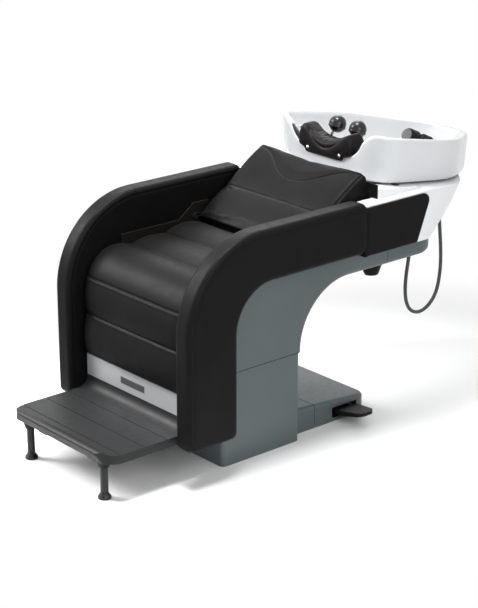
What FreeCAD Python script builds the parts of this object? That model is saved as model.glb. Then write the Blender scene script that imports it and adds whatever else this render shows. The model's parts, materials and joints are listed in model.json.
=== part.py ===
"""Backwash unit: a shampoo chair on a lifting column, with a tilting bowl behind its backrest.

Millimetres. +X is the pedal side, +Y runs from the footstep to the bowl, +Z is up.
The origin is on the floor, in the middle of the column and of its four anchor holes.
"""

import FreeCAD, Part
import math
import os

import Sketcher

Vector = FreeCAD.Vector

SIZES = {
    # Whole unit and its lift
    "unit_width": 690,
    "lift_travel": 120,
    "running_gap": 0.05,
    "seat_gap": 0.3,
    "overrun": 20,
    # Column covers
    "column_half_width_inset": 0.5,
    "column_half_width": "=unit_width / 2 - arm_thickness - column_half_width_inset",
    "column_half_depth": 172,
    "column_corner": 22,
    "cover_wall": 4,
    "lower_cover_wall": 3,
    "telescope_gap": 2,
    "column_seam_drop": 210,
    "column_seam": "=cantilever_under - column_seam_drop",
    "telescope_overlap": 15,
    # Cantilever arm of the upper cover
    "cantilever_top": 603,
    "cantilever_under_drop": 77,
    "cantilever_under": "=cantilever_top - cantilever_under_drop",
    "cantilever_reach_setback": 35,
    "cantilever_reach": "=bowl_front + cantilever_reach_setback",
    "seat_well_floor_drop": 23,
    "seat_well_floor": "=seat_under - seat_well_floor_drop",
    "seat_well_wall": 7,
    "pipe_slot_height": 60,
    # Rear under cover and trap cover
    "under_cover_rear_setback": 13,
    "under_cover_rear": "=housing_rear + under_cover_rear_setback",
    "under_cover_tail": 90,
    "under_cover_gap": 2,
    "trap_place_setback": 235,
    "trap_place": "=bowl_front + trap_place_setback",
    "trap_cover_length": 150,
    "trap_cover_width": 78,
    "trap_cover_bottom_drop": 144,
    "trap_cover_bottom": "=cantilever_under - trap_cover_bottom_drop",
    "trap_cover_wall": 3,
    # Base
    "plate_thickness": 8,
    "plate_half_width_inset": 21,
    "plate_half_width": "=base_half_width - plate_half_width_inset",
    "plate_front_lead": 22,
    "plate_front": "=column_half_depth - plate_front_lead",
    "plate_rear_lead": 25,
    "plate_rear": "=base_rear - plate_rear_lead",
    "anchor_margin": 15,
    "anchor_spacing_wide": "=(plate_half_width - anchor_margin) * 2",
    "anchor_spacing_deep": 240,
    "anchor_radius": 6.5,
    "base_half_width_inset": 47,
    "base_half_width": "=column_half_width - base_half_width_inset",
    "base_wall": 3,
    "base_seam_setback": 100,
    "base_seam": "=column_half_depth + base_seam_setback",
    "base_rear_setback": 243,
    "base_rear": "=base_seam + base_rear_setback",
    "base_front_height": 90,
    "base_seam_height": 82,
    "base_rear_height": 64,
    "base_edge_round": 14,
    "base_tail_round": 40,
    # Lift
    "mast_side": 90,
    "mast_wall": 4,
    "mast_top_drop": 36,
    "mast_top": "=frame_floor - mast_top_drop",
    "carriage_wall": 5,
    "carriage_bottom": 190,
    "cylinder_radius": 25,
    "cylinder_bore": 20,
    "cylinder_top_drop": 90,
    "cylinder_top": "=mast_top - cylinder_top_drop",
    "cylinder_gland": 24,
    "rod_radius": 15,
    "piston_height": 22,
    "piston_rest": 40,
    "pump_length": 150,
    "pump_width": 96,
    "pump_height": 46,
    "pump_place": 330,
    "pump_motor_radius": 20,
    # Cantilever frame
    "frame_plate": 8,
    "frame_half_gap_inset": 153,
    "frame_half_gap": "=column_half_width - frame_half_gap_inset",
    "frame_front": 140,
    "frame_floor_drop": 57,
    "frame_floor": "=seat_under - frame_floor_drop",
    "frame_step": 178,
    "frame_rear_setback": 175,
    "frame_rear": "=bowl_front + frame_rear_setback",
    "frame_rear_depth": 66,
    "frame_tie_radius": 16,
    # Foot pedal
    "pedal_pivot_inset": 76,
    "pedal_pivot": "=base_half_width - pedal_pivot_inset",
    "pedal_pivot_height": 24,
    "pedal_place_setback": 138,
    "pedal_place": "=base_seam + pedal_place_setback",
    "pedal_root_spread": 4,
    "pedal_root": "=base_half_width + pedal_root_spread",
    "pedal_tip_spread": 110,
    "pedal_tip": "=pedal_root + pedal_tip_spread",
    "pedal_root_width": 96,
    "pedal_tip_width": 72,
    "pedal_tip_round": 26,
    "pedal_thickness": 11,
    "pedal_rise": 20,
    "pedal_slot_margin": 9,
    "pedal_slot_floor": 7,
    "pedal_slot_top": 50,
    "pedal_lever_width": 44,
    "pedal_lever_thickness": 8,
    "pedal_pin_radius": 5,
    "pedal_eye_radius": 11,
    "pedal_ear": 6,
    # Footstep
    "step_reach_setback": 302,
    "step_reach": "=seat_reach + step_reach_setback",
    "step_half_width_inset": 11,
    "step_half_width": "=column_half_width - step_half_width_inset",
    "step_top": 160,
    "step_under_drop": 28,
    "step_under": "=step_top - step_under_drop",
    "step_lip": 9,
    "step_lip_depth": 34,
    "step_nose": 11,
    "step_cove": 38,
    "step_back_lead": 17,
    "step_back": "=seat_reach - step_back_lead",
    "step_back_thickness": 8,
    "step_corner": 70,
    "step_groove_width": 3,
    "step_groove_depth": 2,
    "step_groove_pitch": 90,
    "step_groove_first": 82,
    "step_tube_width": 40,
    "step_tube_height": 26,
    "step_tube_place_inset": 132,
    "step_tube_place": "=step_half_width - step_tube_place_inset",
    "leg_place_wide_inset": 66,
    "leg_place_wide": "=step_half_width - leg_place_wide_inset",
    "leg_place_front_lead": 40,
    "leg_place_front": "=step_reach - leg_place_front_lead",
    "leg_radius": 12.5,
    "socket_radius": 24,
    "socket_tip_radius": 17,
    "socket_height": 26,
    "foot_radius": 21,
    "foot_neck_radius": 14,
    "foot_height": 16,
    "foot_flange": 6,
    # Kick plate
    "kick_bottom_rise": 39,
    "kick_bottom": "=step_top + kick_bottom_rise",
    "kick_top_rise": 74,
    "kick_top": "=kick_bottom + kick_top_rise",
    "kick_thickness": 3,
    "kick_lip": 14,
    # Arms
    "arm_thickness": 71.5,
    "arm_reach_setback": 45,
    "arm_reach": "=seat_reach + arm_reach_setback",
    "arm_leg_depth": 201,
    "arm_bottom": 126,
    "arm_top_rise": 187,
    "arm_top": "=cantilever_top + arm_top_rise",
    "arm_band": 173,
    "arm_rear_lead": 2,
    "arm_rear": "=housing_front - arm_rear_lead",
    "arm_outer_bend": 300,
    "arm_inner_bend": 150,
    "arm_corner_round": 24,
    "arm_edge_round": 18,
    # Seat
    "seat_half_width_inset": 9.5,
    "seat_half_width": "=unit_width / 2 - arm_thickness - seat_half_width_inset",
    "seat_reach": 320,
    "seat_bottom_rise": 10,
    "seat_bottom": "=kick_top + seat_bottom_rise",
    "seat_low_seam_share": 0.4036,
    "seat_low_seam": "=seat_bottom + (seat_front_height - seat_bottom) * seat_low_seam_share",
    "seat_high_seam_share": 0.7715,
    "seat_high_seam": "=seat_bottom + (seat_front_height - seat_bottom) * seat_high_seam_share",
    "seat_front_lean": 15,
    "seat_front_seam": 126,
    "seat_front_height_rise": 17,
    "seat_front_height": "=cantilever_top + seat_front_height_rise",
    "seat_mid_seam": 16,
    "seat_mid_height_rise": 27,
    "seat_mid_height": "=cantilever_top + seat_mid_height_rise",
    "seat_rear": 148,
    "seat_rear_height_rise": 45,
    "seat_rear_height": "=cantilever_top + seat_rear_height_rise",
    "seat_under_drop": 90,
    "seat_under": "=cantilever_top - seat_under_drop",
    "seat_apron": 64,
    "seat_channel_bulge": 11,
    "seat_roll_bulge": 46,
    "seat_draw": 16,
    "seat_board_thickness": 15,
    "seat_board_margin": 14,
    # Backrest
    "back_half_width_inset": 18.5,
    "back_half_width": "=unit_width / 2 - arm_thickness - back_half_width_inset",
    "back_hinge_rear_setback": 10,
    "back_hinge_rear": "=back_low_rear + back_hinge_rear_setback",
    "back_hinge_height_drop": 11,
    "back_hinge_height": "=back_low_height - back_hinge_height_drop",
    "back_low_rear_setback": 10,
    "back_low_rear": "=seat_rear + back_low_rear_setback",
    "back_low_height_rise": 58,
    "back_low_height": "=cantilever_top + back_low_height_rise",
    "back_mid_rear_setback": 129,
    "back_mid_rear": "=back_low_rear + back_mid_rear_setback",
    "back_mid_height_rise": 88,
    "back_mid_height": "=back_low_height + back_mid_height_rise",
    "back_top_rear_setback": 289,
    "back_top_rear": "=back_low_rear + back_top_rear_setback",
    "back_top_height_rise": 201,
    "back_top_height": "=back_low_height + back_top_height_rise",
    "back_nose_rear_setback": 18,
    "back_nose_rear": "=back_top_rear + back_nose_rear_setback",
    "back_nose_height_drop": 28,
    "back_nose_height": "=back_top_height - back_nose_height_drop",
    "back_tail_height_drop": 118,
    "back_tail_height": "=back_nose_height - back_tail_height_drop",
    "back_under_rear_setback": 38,
    "back_under_rear": "=back_low_rear + back_under_rear_setback",
    "back_under_height_drop": 99,
    "back_under_height": "=back_tail_height - back_under_height_drop",
    "back_bulge": 7,
    "back_draw": 15,
    "back_neck_dip": 12,
    "back_board_thickness": 12,
    "back_ear_thickness": 5,
    "back_ear_gap": 4,
    "back_eye_radius": 13,
    "back_pin_radius": 6,
    "back_plate_thickness": 5,
    "back_plate_depth": 70,
    "back_plate_height": 60,
    "lining_reach": 150,
    "lining_height": 48,
    "lining_slope": 60,
    # Recline drive
    "actuator_radius": 22,
    "actuator_length": 190,
    "lug_place_setback": 152,
    "lug_place": "=back_low_rear + lug_place_setback",
    "lug_bottom_drop": 43,
    "lug_bottom": "=cantilever_top - lug_bottom_drop",
    "actuator_rod_radius": 9,
    "actuator_motor_length": 96,
    # Bowl housing
    "housing_half_width_inset": 12,
    "housing_half_width": "=unit_width / 2 - housing_half_width_inset",
    "housing_front_lead": 77,
    "housing_front": "=back_nose_rear - housing_front_lead",
    "housing_rear_setback": 272,
    "housing_rear": "=bowl_front + housing_rear_setback",
    "housing_side_end_setback": 122,
    "housing_side_end": "=bowl_front + housing_side_end_setback",
    "housing_tail_half_inset": 150,
    "housing_tail_half": "=housing_half_width - housing_tail_half_inset",
    "housing_rim_side_end_setback": 120,
    "housing_rim_side_end": "=bowl_front + housing_rim_side_end_setback",
    "housing_rim_rear_setback": 570,
    "housing_rim_rear": "=bowl_front + housing_rim_rear_setback",
    "housing_rim_tail_half": 40,
    "housing_rim_height_drop": 6,
    "housing_rim_height": "=skirt_height - housing_rim_height_drop",
    "housing_ledge_drop": 31,
    "housing_ledge": "=skirt_height - housing_ledge_drop",
    "housing_wall": 5,
    "housing_foot_bevel": 7,
    "housing_bay_half_inset": 2.5,
    "housing_bay_half": "=unit_width / 2 - arm_thickness - housing_bay_half_inset",
    "housing_bay_gap": 7,
    "housing_bay_depth": "=back_nose_rear + housing_bay_gap - housing_front",
    "housing_mouth_half_inset": 49,
    "housing_mouth_half": "=bowl_half_width - housing_mouth_half_inset",
    "housing_mouth_front_lead": 3,
    "housing_mouth_front": "=bowl_front - housing_mouth_front_lead",
    "housing_mouth_rear_setback": 415,
    "housing_mouth_rear": "=bowl_front + housing_mouth_rear_setback",
    "drain_way_radius": 45,
    "carrier_half_width_inset": 38,
    "carrier_half_width": "=housing_half_width - carrier_half_width_inset",
    "carrier_front_lead": 40,
    "carrier_front": "=bowl_front - carrier_front_lead",
    "carrier_rear_setback": 165,
    "carrier_rear": "=bowl_front + carrier_rear_setback",
    "carrier_gap": 5,
    "apron_thickness": 4,
    "apron_bottom_rise": 37,
    "apron_bottom": "=cantilever_top + apron_bottom_rise",
    "panel_margin": 1,
    "panel_bottom_rise": 6,
    "panel_bottom": "=cantilever_top + panel_bottom_rise",
    "panel_top_drop": 3,
    "panel_top": "=housing_ledge - panel_top_drop",
    "panel_rear_top_setback": 64,
    "panel_rear_top": "=panel_rear_bottom + panel_rear_top_setback",
    "panel_rear_bottom_setback": 230,
    "panel_rear_bottom": "=housing_front + panel_rear_bottom_setback",
    "panel_corner": 26,
    "panel_edge_round": 4,
    # Bowl
    "bowl_front_setback": 127,
    "bowl_front": "=housing_front + bowl_front_setback",
    "bowl_side_end_setback": 268,
    "bowl_side_end": "=bowl_front + bowl_side_end_setback",
    "bowl_rear_setback": 635,
    "bowl_rear": "=bowl_front + bowl_rear_setback",
    "bowl_half_width_inset": 62,
    "bowl_half_width": "=housing_half_width - bowl_half_width_inset",
    "bowl_tail_half": 30,
    "bowl_corner": 92,
    "bowl_floor_corner": 58,
    "rim_height_rise": 366,
    "rim_height": "=cantilever_top + rim_height_rise",
    "skirt_height_drop": 163,
    "skirt_height": "=rim_height - skirt_height_drop",
    "skirt_inset": 18,
    "bowl_wall": 9,
    "rim_width": 15,
    "rim_round": 6,
    "bowl_depth": 95,
    "bowl_waist_inset": 52,
    "bowl_waist_rear_setback": 470,
    "bowl_waist_rear": "=bowl_front + bowl_waist_rear_setback",
    "bowl_floor_depth": 200,
    "bowl_floor_half": 105,
    "bowl_floor_front_setback": 135,
    "bowl_floor_front": "=bowl_front + bowl_floor_front_setback",
    "bowl_floor_rear_setback": 345,
    "bowl_floor_rear": "=bowl_front + bowl_floor_rear_setback",
    "notch_floor_drop": 101,
    "notch_floor": "=rim_height - notch_floor_drop",
    "notch_half_floor": 82,
    "notch_half_top": 248,
    "notch_depth": 62,
    "drain_radius": 24,
    "strainer_flange": 32,
    "strainer_thickness": 3,
    "drain_tail_dip": 18,
    # Bowl hinge and rest
    "bowl_hinge_rear_setback": 540,
    "bowl_hinge_rear": "=bowl_front + bowl_hinge_rear_setback",
    "bowl_hinge_height_drop": 52,
    "bowl_hinge_height": "=skirt_height - bowl_hinge_height_drop",
    "bowl_shaft_radius": 7,
    "bowl_lug_thickness": 10,
    "bowl_lug_place": 60,
    "bowl_lug_depth": 36,
    "bowl_bracket_thickness": 6,
    "bowl_bracket_depth": 52,
    "buffer_half": 10,
    "buffer_rear_setback": 85,
    "buffer_rear": "=bowl_front + buffer_rear_setback",
    # Neck cushion
    "neck_half": 120,
    "neck_crest": 36,
    "neck_horn": 76,
    "neck_horn_half": 110,
    "neck_shoulder": 9,
    "neck_draw": 9,
    "neck_edge": 14,
    "neck_front": 8,
    "neck_depth": 74,
    "neck_flap": 15,
    "neck_flap_rise": 17,
    "neck_flap_half": 86,
    "neck_flap_spread": 22,
    "neck_flap_thickness": 7,
    "stud_radius": 6,
    "stud_height": 3,
    "stud_place": 77,
    # Head support
    "support_ball_radius": 30,
    "support_ball_place": 49,
    "support_ball_rear_setback": 25,
    "support_ball_rear": "=support_hinge_rear + support_ball_rear_setback",
    "support_ball_height_rise": 69,
    "support_ball_height": "=notch_floor + support_ball_height_rise",
    "support_hinge_rear_setback": 79,
    "support_hinge_rear": "=bowl_front + support_hinge_rear_setback",
    "support_hinge_height": "=notch_floor",
    "support_rod_radius": 5,
    "support_block_width": 20,
    "support_block_height": 24,
    # Hand shower and mixer
    "deck_socket_rear_setback": 505,
    "deck_socket_rear": "=bowl_front + deck_socket_rear_setback",
    "deck_socket_side": -18,
    "deck_mixer_rear_setback": 460,
    "deck_mixer_rear": "=bowl_front + deck_mixer_rear_setback",
    "deck_mixer_side": 98,
    "socket_flange_radius": 27,
    "socket_outer_radius": 19,
    "socket_bore": 13,
    "socket_length": 46,
    "socket_flange_height": 8,
    "shower_spigot_radius": 13,
    "shower_spigot_length": 34,
    "shower_grip_radius": 17,
    "shower_length": 28,
    "shower_head_radius": 27,
    "shower_head_height": 58,
    "shower_face_radius": 22,
    "shower_face_thickness": 3,
    "mixer_flange_radius": 26,
    "mixer_stem_radius": 11,
    "mixer_flange_height": 6,
    "mixer_stem_length": 30,
    "mixer_knob_radius": 21,
    "mixer_knob_height": 26,
    "mixer_lever_length": 26,
    "mixer_lever_radius": 5,
    # Plumbing
    "trap_bottle_radius": 29,
    "trap_bottle_bottom_drop": 52,
    "trap_bottle_bottom": "=trap_bottle_top - trap_bottle_bottom_drop",
    "trap_bottle_top_drop": 18,
    "trap_bottle_top": "=cantilever_under - trap_bottle_top_drop",
    "trap_pipe_radius": 22,
    "trap_funnel_radius": 36,
    "trap_funnel_top_drop": 301,
    "trap_funnel_top": "=rim_height - trap_funnel_top_drop",
    "trap_funnel_height": 30,
    "trap_wall": 3,
    "valve_length": 110,
    "valve_width": 52,
    "valve_height": 44,
    "valve_place_setback": 185,
    "valve_place": "=bowl_front + valve_place_setback",
    "valve_side_inset": 183,
    "valve_side": "=housing_half_width - valve_side_inset",
    "hose_radius": 6.5,
    "gland_radius": 13,
    "gland_length": 24,
}

LEAN_SHARES = {"skirt": 0.134, "rim": 0.193}
TRAP_COVER_SHARES = (1, 0.86, 0.36)
CUSHION_SHARES = ((-1, 1), (-0.93, 0.3), (-0.75, 0.06), (0, 0), (0.75, 0.06), (0.93, 0.3), (1, 1))
SHOWER_SHARES = {"waist": 0.45, "brow": 0.2, "cheek": 0.9}
KNOB_SHARES = {"crown": 0.9, "dome": 1.15, "lever": 0.6, "root": 0.75}
VALVE_STUB_SHARES = (-0.5, 0.5)
GLAND_TIP_SHARE = 0.75
RUN_SHARE = 0.45
STRAINER_HOLES = 6


class Size:
    """A length of the model: its value and its formula in the sheet's aliases."""

    def __init__(self, value, formula):
        self.value = float(value)
        self.formula = formula

    def _joined(self, value, sign, other):
        text = other.formula if isinstance(other, Size) else repr(other)
        return Size(value, f"({self.formula} {sign} {text})")

    def __add__(self, other):
        return self._joined(self.value + float(other), "+", other)

    def __sub__(self, other):
        return self._joined(self.value - float(other), "-", other)

    def __mul__(self, share):
        return self._joined(self.value * float(share), "*", share)

    def __truediv__(self, share):
        return self._joined(self.value / float(share), "/", share)

    def __neg__(self):
        return Size(-self.value, f"(-{self.formula})")

    def __float__(self):
        return self.value


class SizeSheet:
    """The spreadsheet of driving dimensions, read by name."""

    def __init__(self, document, sizes):
        self.sheet = document.addObject("Spreadsheet::Sheet", "Sizes")
        for row, name in enumerate(sizes, start=1):
            self.sheet.setAlias(f"A{row}", name)
        for row, value in enumerate(sizes.values(), start=1):
            self.sheet.set(f"A{row}", str(value))
        document.recompute()

    def __getattr__(self, name):
        return Size(self.sheet.get(name), f"Sizes.{name}")


doc = FreeCAD.newDocument("BackwashUnit")
S = SizeSheet(doc, SIZES)
ZERO = Size(0, "0")
nodes = []


def node(piece, name):
    """Keeps a piece as a named sub-part of the unit."""
    piece.Label = name
    nodes.append(piece)
    return piece


def bind(piece, **formulas):
    for name, size in formulas.items():
        piece.setExpression(name, size.formula)


def bind_place(piece, at):
    for letter, size in zip("xyz", at):
        piece.setExpression(f"Placement.Base.{letter}", size.formula)


def box(name, x, y, z):
    """A block between the two ends given on each axis."""
    piece = doc.addObject("Part::Box", name)
    bind(piece, Length=x[1] - x[0], Width=y[1] - y[0], Height=z[1] - z[0])
    bind_place(piece, (x[0], y[0], z[0]))
    return piece


def both(half):
    return (-half, half)


TURNS = {
    "X": FreeCAD.Rotation(Vector(0, 0, 1), Vector(1, 0, 0)),
    "Y": FreeCAD.Rotation(Vector(0, 0, 1), Vector(0, 1, 0)),
    "Z": FreeCAD.Rotation(),
}


def rod(name, at, radius, length, axis="Z"):
    """A round bar that starts at a point and runs along an axis."""
    piece = doc.addObject("Part::Cylinder", name)
    bind(piece, Radius=radius, Height=length)
    piece.Placement = FreeCAD.Placement(Vector(), TURNS[axis])
    bind_place(piece, at)
    return piece


def group(name, pieces):
    piece = doc.addObject("Part::Compound", name)
    piece.Links = pieces
    return piece


def fuse(name, pieces):
    piece = doc.addObject("Part::MultiFuse", name)
    piece.Shapes = pieces
    return piece


def cut(name, base, *tools):
    piece = doc.addObject("Part::Cut", name)
    piece.Base = base
    piece.Tool = tools[0] if len(tools) == 1 else fuse(f"{name}_tools", list(tools))
    return piece


def common(name, first, second):
    piece = doc.addObject("Part::Common", name)
    piece.Base = first
    piece.Tool = second
    return piece


def formed(name, shape):
    """A piece whose curved shape is made directly from the sheet's values."""
    piece = doc.addObject("Part::Feature", name)
    piece.Shape = shape
    return piece


def arc_centre(start, end, radius, turn):
    """Centre of the shorter arc between two points; turn is 1 to the left and -1 to the right."""
    chord = end - start
    middle = (start + end) * 0.5
    rise = math.sqrt(max(radius * radius - chord.Length**2 / 4, 0))
    normal = Vector(-chord.y, chord.x, 0).normalize()
    return middle + normal * (rise * turn)


def draw(sketch, corners):
    """Closed outline through the corners; a corner may say the radius and turn of the arc that leads to it."""
    count = len(corners)
    points = [Vector(float(corner[0]), float(corner[1]), 0) for corner in corners]
    ends = []
    for index in range(count):
        follow = (index + 1) % count
        start, end, corner = points[index], points[follow], corners[follow]
        if len(corner) == 2:
            sketch.addGeometry(Part.LineSegment(start, end))
            ends.append((1, 2))
            continue
        radius, turn = corner[2:]
        centre = arc_centre(start, end, float(radius), turn)
        angles = [math.atan2(point.y - centre.y, point.x - centre.x) for point in (start, end)]
        first, last = angles if turn > 0 else reversed(angles)
        circle = Part.Circle(centre, Vector(0, 0, 1), float(radius))
        sketch.addGeometry(Part.ArcOfCircle(circle, first, last))
        ends.append((1, 2) if turn > 0 else (2, 1))
        held = sketch.addConstraint(Sketcher.Constraint("Radius", index, float(radius)))
        sketch.setExpression(f"Constraints[{held}]", radius.formula)
    for index, corner in enumerate(corners):
        before = index - 1 if index else count - 1
        joint = Sketcher.Constraint("Coincident", before, ends[before][1], index, ends[index][0])
        sketch.addConstraint(joint)
        for kind, size in (("DistanceX", corner[0]), ("DistanceY", corner[1])):
            distance = Sketcher.Constraint(kind, -1, 1, index, ends[index][0], float(size))
            held = sketch.addConstraint(distance)
            sketch.setExpression(f"Constraints[{held}]", size.formula)


def sketch_on(body, name, role, corners):
    """A sketch on one of the body's own planes."""
    plane = [item for item in body.Origin.OriginFeatures if item.Role == role][0]
    sketch = body.newObject("Sketcher::SketchObject", f"{name}_sketch")
    sketch.AttachmentSupport = [(plane, "")]
    sketch.MapMode = "FlatFace"
    draw(sketch, corners)
    return sketch


def profile(name, role, corners, start, end):
    """A body padded from an outline between two places along its plane's normal."""
    body = doc.addObject("PartDesign::Body", name)
    sketch = sketch_on(body, name, role, corners)
    offset = -end if role == "XZ_Plane" else start
    sketch.setExpression("AttachmentOffset.Base.z", offset.formula)
    pad = body.newObject("PartDesign::Pad", f"{name}_pad")
    pad.Profile = sketch
    bind(pad, Length=end - start)
    return body


def turned(name, corners, at, way=Vector(0, 0, 1)):
    """A body turned about its own axis, which starts at a point and points a given way."""
    body = doc.addObject("PartDesign::Body", name)
    sketch = sketch_on(body, name, "XZ_Plane", corners)
    lathe = body.newObject("PartDesign::Revolution", f"{name}_turn")
    lathe.Profile = sketch
    lathe.ReferenceAxis = (sketch, ["V_Axis"])
    lathe.Angle = 360
    body.Placement = FreeCAD.Placement(Vector(), FreeCAD.Rotation(Vector(0, 0, 1), way))
    bind_place(body, at)
    return body


def rounded(body, radius, test):
    """Fillets the edges of a body's last feature that pass a test."""
    doc.recompute()
    base = body.Tip
    names = [f"Edge{index}" for index, edge in enumerate(base.Shape.Edges, start=1) if test(edge)]
    fillet = body.newObject("PartDesign::Fillet", f"{body.Name}_round")
    fillet.Base = (base, names)
    bind(fillet, Radius=radius)
    return body


def runs_along(letter):
    """A test for straight edges along one axis."""
    others = [other for other in "XYZ" if other != letter]

    def test(edge):
        room = edge.BoundBox
        return all(getattr(room, f"{other}Length") < 1e-4 for other in others)

    return test


def lies_at(letter, *sizes):
    """A test for edges in a plane across one axis."""

    def test(edge):
        room = edge.BoundBox
        low, high = getattr(room, f"{letter}Min"), getattr(room, f"{letter}Max")
        return any(abs(low - float(size)) < 1e-3 and abs(high - float(size)) < 1e-3 for size in sizes)

    return test


def rectangle(x, y):
    return [(x[0], y[0]), (x[1], y[0]), (x[1], y[1]), (x[0], y[1])]


def lean(name, rear):
    """Drop of the bowl's rim or skirt line at a place behind the bowl's front."""
    return (rear - S.bowl_front) * LEAN_SHARES[name]


def lobe(start, end, bulge):
    """An arc that swells to the left of the way from one point to the next."""
    chord = end - start
    side = Vector(0, -chord.z, chord.y).normalize()
    return Part.Arc(start, (start + end) * 0.5 + side * bulge, end).toShape()


def line(start, end):
    return Part.LineSegment(start, end).toShape()


def quarter(centre, corner_x, corner_y):
    """A quarter of an ellipse between a point beside its centre and one in front of or behind it."""
    wide, deep = corner_x.distanceToPoint(centre), corner_y.distanceToPoint(centre)
    long_end, short_end = (corner_x, corner_y) if wide >= deep else (corner_y, corner_x)
    ellipse = Part.Ellipse(long_end, short_end, centre)
    first, last = sorted(ellipse.parameter(point) for point in (corner_x, corner_y))
    if last - first > math.pi:
        first, last = last, first + 2 * math.pi
    return Part.ArcOfEllipse(ellipse, first, last).toShape()


def hull_outline(front, side_end, rear, half, tail_half, corner=None):
    """A flat outline with straight front and sides and a rounded rear, drawn at floor level."""
    nose = corner if corner else 0
    edges = [line(Vector(nose - half, front, 0), Vector(half - nose, front, 0))]
    sides = []
    for way in (1, -1):
        flank = [line(Vector(way * half, front + nose, 0), Vector(way * half, side_end, 0))]
        centre = Vector(way * tail_half, side_end, 0)
        flank.append(quarter(centre, Vector(way * half, side_end, 0), Vector(way * tail_half, rear, 0)))
        if corner:
            middle = Vector(way * (half - nose), front + nose, 0)
            flank.insert(0, quarter(middle, Vector(way * half, front + nose, 0),
                                    Vector(way * (half - nose), front, 0)))
        sides.append(flank)
    tail = line(Vector(tail_half, rear, 0), Vector(-tail_half, rear, 0))
    return Part.Wire(Part.__sortEdges__(edges + sides[0] + [tail] + sides[1]))


def leaned(wire, height, share=0):
    """Tips a flat outline back about the bowl's front line and lifts it to a height there."""
    tipped = wire.copy()
    tipped.rotate(Vector(0, float(S.bowl_front), 0), Vector(1, 0, 0), -math.degrees(math.atan(share)))
    tipped.translate(Vector(0, 0, float(height)))
    return tipped


def base_plate():
    holes = []
    for index, (side, end) in enumerate(((1, 1), (1, -1), (-1, 1), (-1, -1))):
        at = (S.anchor_spacing_wide * (side / 2), S.anchor_spacing_deep * (end / 2), -S.overrun)
        holes.append(rod(f"anchor_hole_{index}", at, S.anchor_radius, S.plate_thickness + S.overrun * 2))
    blank = box("base_plate_blank", both(S.plate_half_width), (-S.plate_front, S.plate_rear),
                (ZERO, S.plate_thickness))
    node(cut("base_plate_drilled", blank, *holes), "base_plate")


def lower_cover_size():
    """Half width, half depth and corner of the inner telescoping cover."""
    inset = S.cover_wall + S.telescope_gap
    return S.column_half_width - inset, S.column_half_depth - inset, S.column_corner - inset


def column_lower_cover():
    wide, deep, corner = lower_cover_size()
    top = S.column_seam + S.lift_travel + S.telescope_overlap
    wall = S.lower_cover_wall
    skin = profile("lower_cover_skin", "XY_Plane", rectangle(both(wide), both(deep)), ZERO, top)
    rounded(skin, corner, runs_along("Z"))
    core = profile("lower_cover_core", "XY_Plane", rectangle(both(wide - wall), both(deep - wall)),
                   -S.overrun, top + S.overrun)
    rounded(core, corner - wall, runs_along("Z"))
    pipes = box("lower_cover_pipe_slot", both(S.plate_half_width + S.seat_gap), (deep - S.overrun, deep + S.overrun),
                (-S.overrun, S.pipe_slot_height))
    slots = []
    for side in (1, -1):
        middle = S.step_tube_place * side
        half = S.step_tube_width / 2 + S.seat_gap
        slots.append(box(f"lower_cover_step_slot_{side + 1}", (middle - half, middle + half),
                         (-deep - S.overrun, -deep + S.overrun),
                         (S.step_under - S.step_tube_height - S.seat_gap * 2, S.step_under + S.seat_gap)))
    node(cut("lower_cover_cut", skin, core, pipes, *slots), "column_lower_cover")


def cover_side(inset, bottom, top, rear):
    """Side outline of the upper cover: a column with a curved cantilever behind it."""
    front, back = -S.column_half_depth + inset, S.column_half_depth - inset
    bend = S.cantilever_under - S.column_seam + inset
    under = S.cantilever_under + inset
    outline = [(front, bottom), (back, S.column_seam), (back + bend, under, bend, -1), (rear, under),
               (rear, top), (front, top)]
    if float(bottom) < float(S.column_seam):
        outline.insert(1, (back, bottom))
    return outline


def column_upper_cover():
    wall = S.cover_wall
    skin = profile("upper_cover_skin", "YZ_Plane",
                   cover_side(ZERO, S.column_seam, S.cantilever_top, S.cantilever_reach),
                   -S.column_half_width, S.column_half_width)
    rounded(skin, S.column_corner, outer_chain(S.column_half_width, S.cantilever_top, S.column_seam,
                                               S.cantilever_reach))
    core = profile("upper_cover_core", "YZ_Plane",
                   cover_side(wall, S.column_seam - S.overrun, S.cantilever_top + S.overrun,
                              S.cantilever_reach + S.overrun),
                   -S.column_half_width + wall, S.column_half_width - wall)
    rounded(core, S.column_corner - wall,
            outer_chain(S.column_half_width - wall, S.cantilever_top + S.overrun,
                        S.column_seam - S.overrun, S.cantilever_reach + S.overrun))
    front_wall = box("upper_cover_front_top", both(S.column_half_width - S.seat_well_wall),
                     (-S.column_half_depth - S.overrun, -S.column_half_depth + S.column_corner),
                     (S.seat_well_floor, S.cantilever_top + S.overrun))
    node(cut("upper_cover_cut", skin, core, front_wall), "column_upper_cover")


def outer_chain(half, top, bottom, rear):
    """A test for the long edges down both sides of a cover, but not those of its open ends."""
    beside = lies_at("X", half, -half)
    ends = (lies_at("Z", top, bottom), lies_at("Y", rear))

    def test(edge):
        return beside(edge) and not any(end(edge) for end in ends)

    return test


def rear_under_cover():
    wall = S.cover_wall
    front = S.cantilever_reach + S.under_cover_gap
    under, top = S.cantilever_under, S.cantilever_top
    pieces = []
    for name, inset, lift in (("skin", ZERO, ZERO), ("core", wall, S.overrun)):
        half = S.column_half_width - inset
        rear, corner = S.under_cover_rear - inset, S.under_cover_tail - inset
        start = front - lift
        plan = [(half, start), (half, rear - corner), (half - corner, rear, corner, 1),
                (-half + corner, rear), (-half, rear - corner, corner, 1), (-half, start)]
        body = profile(f"under_cover_{name}", "XY_Plane", plan, under + inset, top + lift)
        beneath, mouth = lies_at("Z", under + inset), lies_at("Y", start)
        rounded(body, S.column_corner - inset, lambda edge: beneath(edge) and not mouth(edge))
        pieces.append(body)
    way = rod("under_cover_trap_way", (ZERO, S.trap_place, under - S.overrun),
              S.trap_pipe_radius + S.seat_gap, S.overrun * 3)
    node(cut("under_cover_cut", pieces[0], pieces[1], way), "rear_under_cover")


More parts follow.
